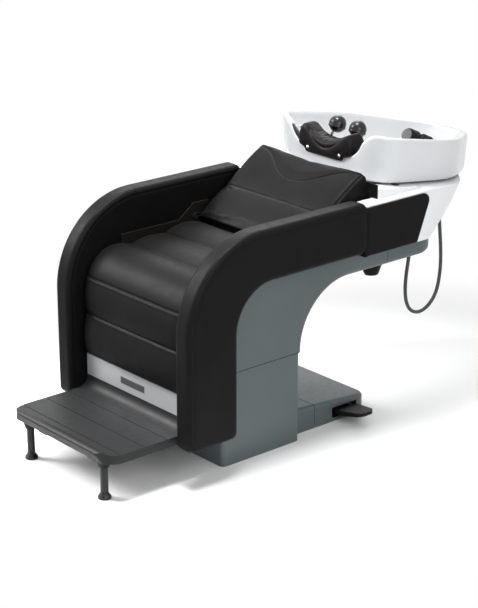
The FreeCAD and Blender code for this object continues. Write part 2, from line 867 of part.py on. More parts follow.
def trap_cover():
    """A boat-shaped cover under the cantilever, open at its top."""
    top = S.cantilever_under - S.seat_gap
    shells = []
    for inset in (ZERO, S.trap_cover_wall):
        wires = []
        heights = (top + inset, (top + S.trap_cover_bottom) / 2, S.trap_cover_bottom + inset)
        for height, share in zip(heights, TRAP_COVER_SHARES):
            half_long = S.trap_cover_length / 2 * share - inset
            half_wide = S.trap_cover_width / 2 * math.sqrt(share) - inset
            ends = [Vector(0, float(S.trap_place + half_long * way), float(height)) for way in (1, -1)]
            flanks = [Vector(way * float(half_wide), float(S.trap_place), float(height)) for way in (1, -1)]
            bows = [Part.Arc(ends[0], flanks[0], ends[1]).toShape(), Part.Arc(ends[1], flanks[1], ends[0]).toShape()]
            wires.append(Part.Wire(bows))
        shells.append(Part.makeLoft(wires, True))
    node(formed("trap_cover_shell", shells[0].cut(shells[1])), "trap_cover")


def base_covers():
    wall = S.base_wall
    front = lower_cover_size()[1] + S.seat_gap
    seam = S.base_seam
    for name, near, far, heights, tail in (
        ("base_front_cover", front, seam, (S.base_front_height, S.base_seam_height), False),
        ("base_rear_cover", seam + S.seat_gap, S.base_rear, (S.base_seam_height, S.base_rear_height), True),
    ):
        shells = []
        for inset, lift in ((ZERO, ZERO), (wall, S.overrun)):
            half = S.base_half_width - inset
            start = near - lift
            end = far - inset if tail else far + lift
            side = [(start, -lift), (end, -lift), (end, heights[1] - inset), (start, heights[0] - inset)]
            body = profile(f"{name}_{len(shells)}", "YZ_Plane", side, -half, half)
            if tail:
                upright, rear = runs_along("Z"), lies_at("Y", end)
                rounded(body, S.base_tail_round - inset, lambda edge: upright(edge) and rear(edge))
            low, near_end, far_end = lies_at("Z", -lift), lies_at("Y", start), lies_at("Y", end)
            ends = (near_end,) if tail else (near_end, far_end)
            rounded(body, S.base_edge_round - inset,
                    lambda edge: not low(edge) and edge.BoundBox.ZMin > float(S.base_rear_height) / 2
                    and not any(end_test(edge) and not (tail and end_test is far_end) for end_test in ends))
            shells.append(body)
        tools = [shells[1]]
        if tail:
            half = S.pedal_root_width / 2 + S.pedal_slot_margin
            tools.append(box("pedal_slot", (S.base_half_width - S.overrun, S.base_half_width + S.overrun),
                             (S.pedal_place - half, S.pedal_place + half), (S.pedal_slot_floor, S.pedal_slot_top)))
        node(cut(f"{name}_cut", shells[0], *tools), name)


def lift():
    half = S.mast_side / 2
    floor = S.plate_thickness
    mast = box("mast_blank", both(half), both(half), (floor, S.mast_top))
    bore = box("mast_bore", both(half - S.mast_wall), both(half - S.mast_wall),
               (floor - S.overrun, S.mast_top + S.overrun))
    node(cut("mast_tube", mast, bore), "lift_mast")
    inner = half + S.seat_gap
    outer = inner + S.carriage_wall
    top = S.frame_floor
    blank = box("carriage_blank", both(outer), both(outer), (S.carriage_bottom, top))
    bore = box("carriage_bore", both(inner), both(inner),
               (S.carriage_bottom - S.overrun, top - S.carriage_wall * 2))
    node(cut("carriage_box", blank, bore), "carriage_tube")
    gland = S.cylinder_top - S.cylinder_gland
    barrel = [(ZERO, floor), (S.cylinder_radius, floor), (S.cylinder_radius, S.cylinder_top),
              (S.rod_radius + S.running_gap, S.cylinder_top), (S.rod_radius + S.running_gap, gland),
              (S.cylinder_bore, gland), (S.cylinder_bore, floor * 2), (ZERO, floor * 2)]
    node(turned("cylinder_barrel", barrel, (ZERO, ZERO, ZERO)), "lift_cylinder")
    piston = S.cylinder_bore - S.running_gap
    ram = [(ZERO, S.piston_rest), (piston, S.piston_rest), (piston, S.piston_rest + S.piston_height),
           (S.rod_radius, S.piston_rest + S.piston_height), (S.rod_radius, top - S.carriage_wall * 2),
           (ZERO, top - S.carriage_wall * 2)]
    node(turned("ram_bar", ram, (ZERO, ZERO, ZERO)), "lift_rod")


def hydraulic_pump():
    half_long, half_wide = S.pump_length / 2, S.pump_width / 2
    floor = S.plate_thickness
    block = box("pump_block", both(half_wide), (S.pump_place - half_long, S.pump_place),
                (floor, floor + S.pump_height))
    motor = rod("pump_motor", (ZERO, S.pump_place - S.overrun, floor + S.pump_height / 2), S.pump_motor_radius,
                half_long + S.overrun, "Y")
    node(fuse("pump_body", [block, motor]), "hydraulic_pump")


def cantilever_frame():
    """Two cut plates with tie bars, carried by the lift and carrying seat, back and bowl."""
    top, floor = S.cantilever_top - S.seat_gap, S.frame_floor
    under = S.cantilever_top - S.frame_rear_depth
    tray = S.seat_under - S.seat_board_thickness - S.seat_gap
    side = [(-S.frame_front, floor), (S.frame_step, floor), (S.frame_step + S.frame_rear_depth * 2, under),
            (S.frame_rear, under), (S.frame_rear, top), (S.frame_step, top), (S.frame_step, tray),
            (-S.frame_front, tray)]
    pieces = []
    for way in (1, -1):
        near = S.frame_half_gap * way - S.frame_plate / 2
        pieces.append(profile(f"frame_plate_{way + 1}", "YZ_Plane", side, near, near + S.frame_plate))
    span = S.frame_half_gap - S.frame_plate / 2
    height = top - S.frame_rear_depth / 2
    for index, place in enumerate((S.frame_step + S.frame_rear_depth, S.frame_rear - S.frame_rear_depth)):
        pieces.append(rod(f"frame_tie_{index}", (-span, place, height), S.frame_tie_radius, span * 2, "X"))
    pieces.append(box("frame_head", both(span), both(S.mast_side), (floor, floor + S.frame_plate)))
    node(fuse("frame_welded", pieces), "cantilever_frame")


def pedal():
    place, pivot, height = S.pedal_place, S.pedal_pivot, S.pedal_pivot_height
    eye = S.pedal_eye_radius
    half_lever = S.pedal_lever_width / 2
    reach = S.pedal_root + S.pedal_thickness * 3
    under = height - S.pedal_lever_thickness / 2
    side = [(pivot, under), (reach, under), (reach, under + S.pedal_lever_thickness),
            (pivot, under + S.pedal_lever_thickness)]
    arm = profile("pedal_lever_bar", "XZ_Plane", side, place - half_lever, place + half_lever)
    boss = rod("pedal_lever_eye", (pivot, place - half_lever, height), eye, S.pedal_lever_width, "Y")
    hole = rod("pedal_lever_hole", (pivot, place - S.pedal_lever_width, height),
               S.pedal_pin_radius + S.running_gap, S.pedal_lever_width * 2, "Y")
    node(cut("pedal_lever_bored", fuse("pedal_lever_blank", [arm, boss]), hole), "pedal_lever")
    ears = []
    for way in (1, -1):
        near = place + (half_lever + S.seat_gap) * way
        far = near + S.pedal_ear * way
        span = (near, far) if way > 0 else (far, near)
        ears.append(box(f"pedal_ear_{way + 1}", (pivot - eye, pivot + eye), span, (S.plate_thickness, height + eye)))
    bore = rod("pedal_bracket_bore", (pivot, place - S.pedal_lever_width, height),
               S.pedal_pin_radius + S.running_gap, S.pedal_lever_width * 2, "Y")
    node(cut("pedal_bracket_bored", group("pedal_ears", ears), bore), "pedal_bracket")
    length = S.pedal_lever_width + S.pedal_ear * 2 + S.seat_gap * 2
    node(rod("pedal_axle", (pivot, place - length / 2, height), S.pedal_pin_radius, length, "Y"), "pedal_pin")
    low = under + S.pedal_lever_thickness + S.seat_gap
    half_root, half_tip = S.pedal_root_width / 2, S.pedal_tip_width / 2
    bend = S.pedal_tip_round
    plan = [(S.pedal_root, place - half_root), (S.pedal_tip - bend, place - half_tip),
            (S.pedal_tip, place - half_tip + bend, bend, 1), (S.pedal_tip, place + half_tip - bend),
            (S.pedal_tip - bend, place + half_tip, bend, 1), (S.pedal_root, place + half_root)]
    tread = profile("pedal_plan", "XY_Plane", plan, low, low + S.pedal_rise + S.pedal_thickness * 2)
    rise = [(S.pedal_root - S.overrun, low), (S.pedal_root + S.pedal_thickness * 3, low),
            (S.pedal_tip + S.overrun, low + S.pedal_rise),
            (S.pedal_tip + S.overrun, low + S.pedal_rise + S.pedal_thickness),
            (S.pedal_root - S.overrun, low + S.pedal_thickness)]
    slab = profile("pedal_side", "XZ_Plane", rise, place - S.pedal_root_width, place + S.pedal_root_width)
    node(common("pedal_tread", tread, slab), "foot_pedal")


def footstep():
    """The moulded step with its cove, lip and grooves, on two legs and a welded frame."""
    back = -S.step_back
    nose = S.step_nose
    lip_top = S.step_top + S.step_lip
    front = -S.step_reach
    side = [
        (back, S.kick_bottom), (back - S.step_cove, S.step_top, S.step_cove, -1),
        (front + S.step_lip_depth, S.step_top), (front + nose, lip_top),
        (front, lip_top - nose, nose, 1), (front + nose, S.step_under), (back + S.step_back_thickness, S.step_under),
        (back + S.step_back_thickness, S.kick_bottom),
    ]
    wave = profile("step_side", "YZ_Plane", side, -S.step_half_width, S.step_half_width)
    corner, half = S.step_corner, S.step_half_width
    plan = [(half, ZERO), (-half, ZERO), (-half, front + corner), (-half + corner, front, corner, 1),
            (half - corner, front), (half, front + corner, corner, 1)]
    sheet = profile("step_plan", "XY_Plane", plan, ZERO, S.kick_top)
    grooves = []
    for index in range(3):
        middle = back - S.step_groove_first - S.step_groove_pitch * index
        grooves.append(box(f"step_groove_{index}", both(half + S.overrun),
                           (middle - S.step_groove_width / 2, middle + S.step_groove_width / 2),
                           (S.step_top - S.step_groove_depth, S.kick_bottom)))
    node(cut("step_grooved", common("step_blank", wave, sheet), *grooves), "step_plate")

    under, low = S.step_under - S.seat_gap, S.step_under - S.step_tube_height
    deep = S.plate_front
    tubes = []
    for way in (1, -1):
        middle, half_tube = S.step_tube_place * way, S.step_tube_width / 2
        side = (middle - half_tube, middle + half_tube)
        tubes.append(box(f"step_tube_{way + 1}", side, (-S.leg_place_front, -deep + S.step_tube_width), (low, under)))
        tubes.append(box(f"step_post_{way + 1}", side, (-deep, -deep + S.step_tube_width), (S.plate_thickness, low)))
        near = back + S.step_back_thickness + S.seat_gap
        tubes.append(box(f"step_upright_{way + 1}", side, (near, near + S.step_tube_height), (low, S.kick_top - S.kick_lip)))
    node(fuse("step_frame_welded", tubes), "step_frame")

    legs, sockets, feet = [], [], []
    for way in (1, -1):
        at = (S.leg_place_wide * way, -S.leg_place_front, ZERO)
        tip = S.step_under - S.socket_height
        socket = [(S.leg_radius, tip), (S.socket_tip_radius, tip), (S.socket_radius, S.step_under - S.seat_gap),
                  (S.leg_radius, S.step_under - S.seat_gap)]
        sockets.append(turned(f"socket_{way + 1}", socket, at))
        start = (at[0], at[1], S.foot_flange)
        legs.append(rod(f"leg_{way + 1}", start, S.leg_radius, S.step_under - S.seat_gap - S.foot_flange))
        foot = [(ZERO, ZERO), (S.foot_radius, ZERO), (S.foot_radius, S.foot_flange),
                (S.foot_neck_radius, S.foot_height), (S.leg_radius, S.foot_height),
                (S.leg_radius, S.foot_flange), (ZERO, S.foot_flange)]
        feet.append(turned(f"foot_{way + 1}", foot, at))
    node(group("step_leg_pair", legs), "step_legs")
    node(group("step_socket_pair", sockets), "step_sockets")
    node(group("step_foot_pair", feet), "step_feet")

    face = back + S.step_back_thickness + S.seat_gap
    lip = [(back, S.kick_bottom + S.seat_gap), (back + S.kick_thickness, S.kick_bottom + S.seat_gap),
           (back + S.kick_thickness, S.kick_top - S.kick_thickness), (face + S.kick_lip, S.kick_top - S.kick_thickness),
           (face + S.kick_lip, S.kick_top), (back, S.kick_top)]
    node(profile("kick_face", "YZ_Plane", lip, -S.step_half_width, S.step_half_width), "kick_plate")


def arm_inner():
    return S.unit_width / 2 - S.arm_thickness


def arms():
    front, leg = -S.arm_reach, -S.arm_reach + S.arm_leg_depth
    top, under = S.arm_top, S.arm_top - S.arm_band
    outer, inner = S.arm_outer_bend, S.arm_inner_bend
    side = [
        (front, S.arm_bottom), (front, top - outer), (front + outer, top, outer, -1), (S.arm_rear, top),
        (S.arm_rear, under), (leg + inner, under), (leg, under - inner, inner, 1), (leg, S.arm_bottom),
    ]
    for name, way in (("right_arm", 1), ("left_arm", -1)):
        faces = (arm_inner() * way, S.unit_width / 2 * way)
        near, far = faces if way > 0 else reversed(faces)
        arm = profile(f"{name}_block", "YZ_Plane", side, near, far)
        rounded(arm, S.arm_corner_round, arm_corner_test(front, leg))
        rounded(arm, S.arm_edge_round, lies_at("X", near, far))
        node(arm, name)


def arm_corner_test(front, leg):
    """A test for the square corners of an arm's outline, not the ends of its bends."""
    along = runs_along("X")
    corners = [(front, S.arm_bottom), (leg, S.arm_bottom), (S.arm_rear, S.arm_top),
               (S.arm_rear, S.arm_top - S.arm_band)]

    def test(edge):
        room = edge.BoundBox
        return along(edge) and any(abs(room.YMin - float(y)) < 1e-3 and abs(room.ZMin - float(z)) < 1e-3
                                   for y, z in corners)

    return test


def numbers(*sizes):
    return [float(size) for size in sizes]


def side_wire(x, points, bulges):
    """A closed side section at one place across the unit; a bulge of zero is a straight edge."""
    corners = [Vector(x, y, z) for y, z in points]
    edges = []
    for index, bulge in enumerate(bulges):
        start, end = corners[index], corners[(index + 1) % len(corners)]
        edges.append(lobe(start, end, bulge) if bulge else line(start, end))
    return Part.Wire(edges)


def seat_section(x, draw_in):
    front, bottom, low, high, lean_back = numbers(
        -S.seat_reach, S.seat_bottom, S.seat_low_seam, S.seat_high_seam, S.seat_front_lean)
    rear, under, apron = numbers(S.seat_rear, S.seat_under, -S.seat_reach + S.seat_apron)
    share = (low - bottom) / (high - bottom)
    points = [
        (front + draw_in, bottom), (front + lean_back * share + draw_in, low), (front + lean_back + draw_in, high),
        (-float(S.seat_front_seam), float(S.seat_front_height) - draw_in),
        (float(S.seat_mid_seam), float(S.seat_mid_height) - draw_in),
        (rear, float(S.seat_rear_height) - draw_in), (rear, under), (apron, under), (apron, bottom),
    ]
    swell, roll = numbers(S.seat_channel_bulge, S.seat_roll_bulge)
    return side_wire(x, points, (swell, swell, roll, swell, swell, 0, 0, 0, 0))


def seat():
    half, draw_in = numbers(S.seat_half_width, S.seat_draw)
    wires = [seat_section(half * place, draw_in * share) for place, share in CUSHION_SHARES]
    node(formed("seat_pad", Part.makeLoft(wires, True, True)), "seat_cushion")
    top = S.seat_under - S.seat_gap
    board = box("seat_panel", both(S.seat_half_width - S.seat_board_margin),
                (-S.seat_reach + S.seat_apron + S.seat_gap, S.seat_rear - S.seat_board_margin),
                (top - S.seat_board_thickness, top))
    node(board, "seat_board")


def back_section(x, draw_in, dip):
    low, low_h, mid, mid_h = numbers(S.back_low_rear, S.back_low_height, S.back_mid_rear, S.back_mid_height)
    top, top_h, nose, nose_h = numbers(S.back_top_rear, S.back_top_height, S.back_nose_rear, S.back_nose_height)
    tail_h, under, under_h = numbers(S.back_tail_height, S.back_under_rear, S.back_under_height)
    swell = float(S.back_bulge)
    slope = Vector(top - low, top_h - low_h, 0).normalize()
    inward = (slope.y * draw_in, -slope.x * draw_in)
    points = [
        (low + inward[0], low_h + inward[1]), (mid + inward[0], mid_h + inward[1]),
        (top + inward[0], top_h + inward[1] - dip), (nose, nose_h - draw_in - dip), (nose, tail_h), (under, under_h),
    ]
    return side_wire(x, points, (swell, swell, swell / 2, 0, 0, swell / 2))


def backrest():
    half, draw_in, dip = numbers(S.back_half_width, S.back_draw, S.back_neck_dip)
    wires = []
    for place, share in CUSHION_SHARES:
        wires.append(back_section(half * place, draw_in * share, dip * (1 - abs(place))))
    node(formed("back_pad", Part.makeLoft(wires, True, True)), "backrest_cushion")

    hinge, height = S.back_hinge_rear, S.back_hinge_height
    drop, thick = S.seat_gap, S.back_board_thickness
    inner = S.back_half_width + S.back_ear_gap
    outer = inner + S.back_ear_thickness
    board = [(S.back_under_rear, S.back_under_height - drop), (S.back_nose_rear, S.back_tail_height - drop),
             (S.back_nose_rear, S.back_tail_height - drop - thick),
             (S.back_under_rear, S.back_under_height - drop - thick)]
    pieces = [profile("back_board", "YZ_Plane", board, -inner, inner)]
    eye = S.back_eye_radius
    rise = (S.back_tail_height - S.back_under_height) / 3
    third = (S.back_nose_rear - S.back_under_rear) / 3
    ear = [(hinge - eye, height), (S.back_under_rear, S.back_under_height - drop - thick),
           (S.back_under_rear + third, S.back_under_height + rise - drop - thick),
           (S.back_under_rear + third, S.back_under_height + rise - drop), (hinge, height + eye)]
    holes, plates, pins, linings = [], [], [], []
    plate_far = arm_inner() - S.seat_gap
    plate_near = plate_far - S.back_plate_thickness
    plate_front, plate_foot = hinge - eye, height - eye
    plate_rear, plate_top = plate_front + S.back_plate_depth, plate_foot + S.back_plate_height
    foot, edge = S.cantilever_top + S.seat_gap, S.cantilever_top + S.lining_height
    lining = [(-S.lining_reach, foot), (S.arm_rear, foot), (S.arm_rear, edge), (plate_rear + S.lining_slope, edge),
              (plate_rear, plate_top), (plate_front, plate_top), (plate_front - S.lining_slope, edge),
              (-S.lining_reach, edge)]
    lining_near, lining_far = outer + S.seat_gap * 2, plate_near - S.seat_gap
    for way in (1, -1):
        span = (inner * way, outer * way) if way > 0 else (outer * way, inner * way)
        pieces.append(profile(f"back_ear_{way + 1}", "YZ_Plane", ear, *span))
        pieces.append(rod(f"back_eye_{way + 1}", (span[0], hinge, height), eye, S.back_ear_thickness, "X"))
        bore = S.back_pin_radius + S.running_gap
        holes.append(rod(f"back_bore_{way + 1}", (span[0] - S.overrun, hinge, height), bore, S.overrun * 3, "X"))
        span = (plate_near * way, plate_far * way) if way > 0 else (plate_far * way, plate_near * way)
        plate = box(f"back_plate_{way + 1}", span, (plate_front, plate_rear), (plate_foot, plate_top))
        bore = rod(f"back_plate_bore_{way + 1}", (span[0] - S.overrun, hinge, height), bore, S.overrun * 3, "X")
        plates.append(cut(f"back_plate_bored_{way + 1}", plate, bore))
        span = (lining_near * way, lining_far * way) if way > 0 else (lining_far * way, lining_near * way)
        sheet = profile(f"lining_sheet_{way + 1}", "YZ_Plane", lining, *span)
        linings.append(cut(f"lining_bored_{way + 1}", sheet, bore))
        start = inner * way if way > 0 else plate_far * way
        pins.append(rod(f"back_pin_{way + 1}", (start, hinge, height), S.back_pin_radius, plate_far - inner, "X"))
    pieces.append(box("back_lug", both(S.frame_plate), (S.lug_place - S.frame_plate * 2, S.lug_place),
                      (S.lug_bottom, S.back_under_height + rise)))
    node(cut("back_frame_bored", fuse("back_frame_welded", pieces), *holes), "backrest_frame")
    node(group("back_plate_pair", plates), "back_hinge_plates")
    node(group("back_pin_pair", pins), "back_hinge_pins")
    node(group("lining_pair", linings), "arm_linings")

    axis_height = S.cantilever_top - S.seat_gap - S.frame_rear_depth / 2
    far = S.frame_rear - S.frame_rear_depth - S.frame_tie_radius
    near = far - S.actuator_length
    tube = rod("actuator_tube", (ZERO, near, axis_height), S.actuator_radius, S.actuator_length, "Y")
    motor = rod("actuator_motor", (S.actuator_radius + S.actuator_rod_radius * 2, far - S.actuator_motor_length, axis_height),
                S.actuator_radius, S.actuator_motor_length, "Y")
    node(fuse("actuator_body", [tube, motor]), "recline_actuator")
    tip = S.lug_place + S.overrun
    node(rod("actuator_bar", (ZERO, tip, axis_height), S.actuator_rod_radius, near - tip, "Y"), "recline_rod")


def housing_solid(inset, lift):
    """The flared white housing, or its hollow when inset by the wall."""
    front, half = numbers(S.housing_front + inset, S.housing_half_width - inset)
    bottom = hull_outline(front, float(S.housing_side_end), float(S.housing_rear - inset), half,
                          float(S.housing_tail_half))
    bottom.translate(Vector(0, 0, float(S.cantilever_top + inset)))
    rim = hull_outline(front, float(S.housing_rim_side_end), float(S.housing_rim_rear - inset), half,
                       float(S.housing_rim_tail_half))
    rim = leaned(rim, S.housing_rim_height - lift, LEAN_SHARES["skirt"])
    solid = Part.makeLoft([bottom, rim], True, True)
    room = solid.BoundBox
    lid = Part.makeBox(room.XLength, room.YLength, room.ZLength,
                       Vector(room.XMin, room.YMin, float(S.housing_ledge - lift)))
    return solid.cut(lid)


def block(x, y, z):
    """A plain block between the two ends given on each axis."""
    low = Vector(*numbers(x[0], y[0], z[0]))
    return Part.makeBox(*[float(pair[1]) - float(pair[0]) for pair in (x, y, z)], low)


def bowl_housing():
    wall, bay = S.housing_wall, S.housing_front + S.housing_bay_depth
    shell = housing_solid(ZERO, ZERO)
    half, foot, bevel, start, end = numbers(S.housing_half_width, S.cantilever_top, S.housing_foot_bevel,
                                            S.housing_front - S.overrun, S.housing_rear)
    for way in (1, -1):
        corners = [Vector(way * x, start, z) for x, z in ((half - bevel, foot), (half, foot), (half, foot + bevel))]
        wedge = Part.Face(Part.makePolygon(corners + corners[:1])).extrude(Vector(0, end - start, 0))
        shell = shell.cut(wedge)
    hollow = housing_solid(wall, wall)
    below, above = S.cantilever_top - S.overrun, S.housing_rim_height + S.overrun * 4
    hollow = hollow.cut(block(both(S.housing_bay_half + wall), (S.housing_front, bay + wall), (below, above)))
    shell = shell.cut(hollow)
    shell = shell.cut(block(both(S.housing_bay_half), (S.housing_front - S.overrun, bay), (below, above)))
    shell = shell.cut(block(both(S.housing_mouth_half), (S.housing_mouth_front, S.housing_mouth_rear),
                            (S.housing_ledge - S.overrun * 5, above)))
    way = Part.makeCylinder(float(S.drain_way_radius), float(S.overrun * 2),
                            Vector(*numbers(ZERO, S.trap_place, below)))
    return node(formed("housing_shell", shell.cut(way)), "bowl_housing")


def housing_trim():
    bay = S.housing_front + S.housing_bay_depth
    apron_top = S.skirt_height - S.carrier_gap * 2
    node(box("apron_panel", both(S.housing_bay_half - S.apron_thickness),
             (bay - S.seat_gap - S.apron_thickness, bay - S.seat_gap), (S.apron_bottom, apron_top)), "housing_apron")
    low = S.housing_ledge + S.seat_gap
    side = [(S.carrier_front, low), (S.carrier_rear, low)]
    for place in (S.carrier_rear, S.carrier_front):
        side.append((place, S.skirt_height - lean("skirt", place) - S.carrier_gap))
    frame = profile("carrier_wedge", "YZ_Plane", side, -S.carrier_half_width, S.carrier_half_width)
    mouth = box("carrier_mouth", both(S.housing_mouth_half), (S.housing_mouth_front, S.carrier_rear + S.overrun),
                (low - S.overrun, S.rim_height))
    node(cut("carrier_frame", frame, mouth), "bowl_carrier")
    pads, pad = [], []
    wall_place = S.bowl_half_width - S.skirt_inset - S.bowl_wall / 2
    for place, drop in ((S.buffer_rear - S.buffer_half, S.carrier_gap - S.seat_gap),
                        (S.buffer_rear + S.buffer_half, S.carrier_gap - S.seat_gap),
                        (S.buffer_rear + S.buffer_half, S.seat_gap), (S.buffer_rear - S.buffer_half, S.seat_gap)):
        pad.append((place, S.skirt_height - lean("skirt", place) - drop))
    for way in (1, -1):
        middle = wall_place * way
        pads.append(profile(f"buffer_{way + 1}", "YZ_Plane", pad, middle - S.buffer_half, middle + S.buffer_half))
    node(group("buffer_pair", pads), "bowl_buffers")
    for name, way in (("right_side_panel", 1), ("left_side_panel", -1)):
        faces = ((S.housing_half_width + S.seat_gap) * way, S.unit_width / 2 * way)
        near, far = faces if way > 0 else reversed(faces)
        start = S.arm_rear + S.panel_margin
        outline = [(start, S.panel_bottom), (start, S.panel_top), (S.panel_rear_top, S.panel_top),
                   (S.panel_rear_bottom, S.panel_bottom)]
        panel = profile(f"{name}_pad", "YZ_Plane", outline, near, far)
        along, corner = runs_along("X"), lies_at("Y", S.panel_rear_top)
        rounded(panel, S.panel_corner, lambda edge: along(edge) and corner(edge))
        rounded(panel, S.panel_edge_round, lies_at("X", S.unit_width / 2 * way))
        node(panel, name)


def rim_wire(front, side_end, rear, half, corner, drop):
    outline = hull_outline(*numbers(front, side_end, rear, half, S.bowl_tail_half), float(corner))
    return leaned(outline, S.rim_height - drop, LEAN_SHARES["rim"])


def skirt_solid(inset, low, high):
    """The bowl's outer block, or the hollow under it when inset by the wall."""
    half, rear = S.bowl_half_width - S.skirt_inset - inset, S.bowl_rear - S.skirt_inset - inset
    outline = hull_outline(*numbers(S.bowl_front + inset, S.bowl_side_end, rear, half, S.bowl_tail_half),
                           float(S.bowl_corner - inset))
    skirt = leaned(outline, S.skirt_height - low, LEAN_SHARES["skirt"])
    rim = rim_wire(S.bowl_front + inset, S.bowl_side_end, S.bowl_rear - inset, S.bowl_half_width - inset,
                   S.bowl_corner - inset, high)
    return Part.makeLoft([skirt, rim], True, True)


def basin_solid(grow, top):
    """The water side of the bowl, or its outer face when grown by the wall."""
    middle = (S.bowl_floor_front + S.bowl_floor_rear) / 2
    corner, low_corner = S.bowl_corner, S.bowl_floor_corner
    wires = [
        rim_wire(S.bowl_front + S.rim_width - grow, S.bowl_side_end, S.bowl_rear - S.rim_width + grow,
                 S.bowl_half_width - S.rim_width + grow, corner - S.rim_width + grow, top),
        rim_wire(S.bowl_front + S.bowl_waist_inset - grow, S.bowl_side_end, S.bowl_waist_rear + grow,
                 S.bowl_half_width - S.bowl_waist_inset + grow, low_corner + grow, S.bowl_depth),
        rim_wire(S.bowl_floor_front - grow, middle, S.bowl_floor_rear + grow, S.bowl_floor_half + grow,
                 low_corner + grow, S.bowl_floor_depth + grow),
    ]
    return Part.makeLoft(wires, True)


def notch_edges():
    """The neck notch seen from the front: a floor and an S-curve up to each shoulder."""
    floor, near, far, top = numbers(S.notch_floor, S.notch_half_floor, S.notch_half_top, S.rim_height)
    wide, high = (far - near) / 2, (top - floor) / 2
    radius = (wide * wide + high * high) / (2 * high)
    sweep = math.asin(min(wide / radius, 1)) / 2
    dip, rise = radius * math.sin(sweep), radius * (1 - math.cos(sweep))
    curves = []
    for way in (1, -1):
        low, middle, high_end = (Vector(way * x, 0, z) for x, z in
                                 ((near, floor), (near + wide, floor + high), (far, top)))
        curves.append(Part.Arc(low, Vector(way * (near + dip), 0, floor + rise), middle).toShape())
        curves.append(Part.Arc(middle, Vector(way * (far - dip), 0, top - rise), high_end).toShape())
    return curves, line(Vector(-near, 0, floor), Vector(near, 0, floor))


def notch_solid():
    curves, floor = notch_edges()
    half, top, lid = numbers(S.notch_half_top, S.rim_height, S.rim_height + S.overrun * 2)
    lids = [line(Vector(-half, 0, top), Vector(-half, 0, lid)), line(Vector(-half, 0, lid), Vector(half, 0, lid)),
            line(Vector(half, 0, lid), Vector(half, 0, top))]
    face = Part.Face(Part.Wire(Part.__sortEdges__(curves + [floor] + lids)))
    face.translate(Vector(0, float(S.bowl_front - S.overrun), 0))
    return face.extrude(Vector(0, float(S.notch_depth + S.overrun), 0))


def rounded_rim(shell):
    """Rounds both edges of the rim's flat top."""
    margin = float(S.seat_gap)

    def on_rim(edge):
        ends = [edge.valueAt(edge.FirstParameter), edge.valueAt(edge.LastParameter)]
        return all(abs(end.z - float(S.rim_height) + float(lean("rim", Size(end.y, "0")))) < margin for end in ends)

    return shell.makeFillet(float(S.rim_round), [edge for edge in shell.Edges if on_rim(edge)])


SHOWER_WAY = Vector(0, -0.907, 0.421).normalize()


def deck_point(shape, side, rear):
    """The bowl's water face under a point."""
    x, y, low, high = numbers(side, rear, S.skirt_height / 2, S.rim_height + S.overrun)
    probe = shape.common(Part.makeLine(Vector(x, y, low), Vector(x, y, high)))
    return Vector(x, y, max(vertex.Z for vertex in probe.Vertexes))


def deck_way(shape, side, rear):
    """The way that the water face looks at a point."""
    step = S.bowl_wall
    along = deck_point(shape, side + step, rear) - deck_point(shape, side - step, rear)
    back = deck_point(shape, side, rear + step) - deck_point(shape, side, rear - step)
    return along.cross(back).normalize()


def basin():
    wall = S.bowl_wall
    bowl = skirt_solid(ZERO, ZERO, ZERO).cut(skirt_solid(wall, wall, wall))
    water = basin_solid(ZERO, -wall)
    bowl = rounded_rim(bowl.fuse(basin_solid(wall, wall)).cut(water)).cut(notch_solid())
    half, thick = S.bowl_lug_depth / 2, S.bowl_lug_thickness
    lug_top = S.rim_height - lean("rim", S.bowl_hinge_rear) - wall * 2
    for way in (1, -1):
        middle = S.bowl_lug_place * way
        lug = block((middle - thick / 2, middle + thick / 2), (S.bowl_hinge_rear - half, S.bowl_hinge_rear + half),
                    (S.bowl_hinge_height - half, lug_top))
        bowl = bowl.fuse(lug.cut(water))
        middle = S.support_ball_place * way
        half_boss = S.support_block_width / 2
        across = (middle - half_boss, middle + half_boss)
        foot = S.support_hinge_height - S.support_block_height
        eye_front, eye_rear = S.support_hinge_rear - half_boss, S.support_hinge_rear + half_boss
        bowl = bowl.fuse(block(across, (eye_front - S.support_block_height * 2, eye_rear),
                               (foot, S.notch_floor - S.seat_gap)))
        bowl = bowl.fuse(block(across, (eye_front, eye_rear), (foot, S.support_hinge_height + half_boss)))
    for rear, height, radius in ((S.bowl_hinge_rear, S.bowl_hinge_height, S.bowl_shaft_radius),
                                 (S.support_hinge_rear, S.support_hinge_height, S.support_rod_radius)):
        reach = float(S.support_ball_place + S.bowl_lug_place)
        bore = Part.makeCylinder(float(radius + S.running_gap), reach * 2,
                                 Vector(-reach, float(rear), float(height)), Vector(1, 0, 0))
        bowl = bowl.cut(bore)
    drain = deck_point(bowl, ZERO, S.trap_place)
    shower = deck_point(bowl, S.deck_socket_side, S.deck_socket_rear)
    mixer = deck_point(bowl, S.deck_mixer_side, S.deck_mixer_rear)
    tilt = deck_way(bowl, S.deck_mixer_side, S.deck_mixer_rear)
    reach = float(S.socket_length)
    for spot, way, radius in ((shower, SHOWER_WAY, S.socket_outer_radius), (mixer, tilt, S.mixer_stem_radius),
                              (drain, Vector(0, 0, 1), S.drain_radius)):
        hole = Part.makeCylinder(float(radius + S.running_gap), reach * 2, spot - way * reach, way)
        bowl = bowl.cut(hole)
    node(formed("basin_shell", bowl), "basin")
    print("mixer axis", [round(number, 4) for number in tilt], "through", [round(number, 2) for number in mixer])
    print("shower seat", [round(number, 2) for number in shower])
    return bowl, drain, shower, mixer, tilt


def largest(shape):
    return max(shape.Solids, key=lambda solid: solid.Volume)


def fixed(point):
    """A point found on a shape, as lengths that a body can be placed by."""
    return [Size(number, repr(number)) for number in point]


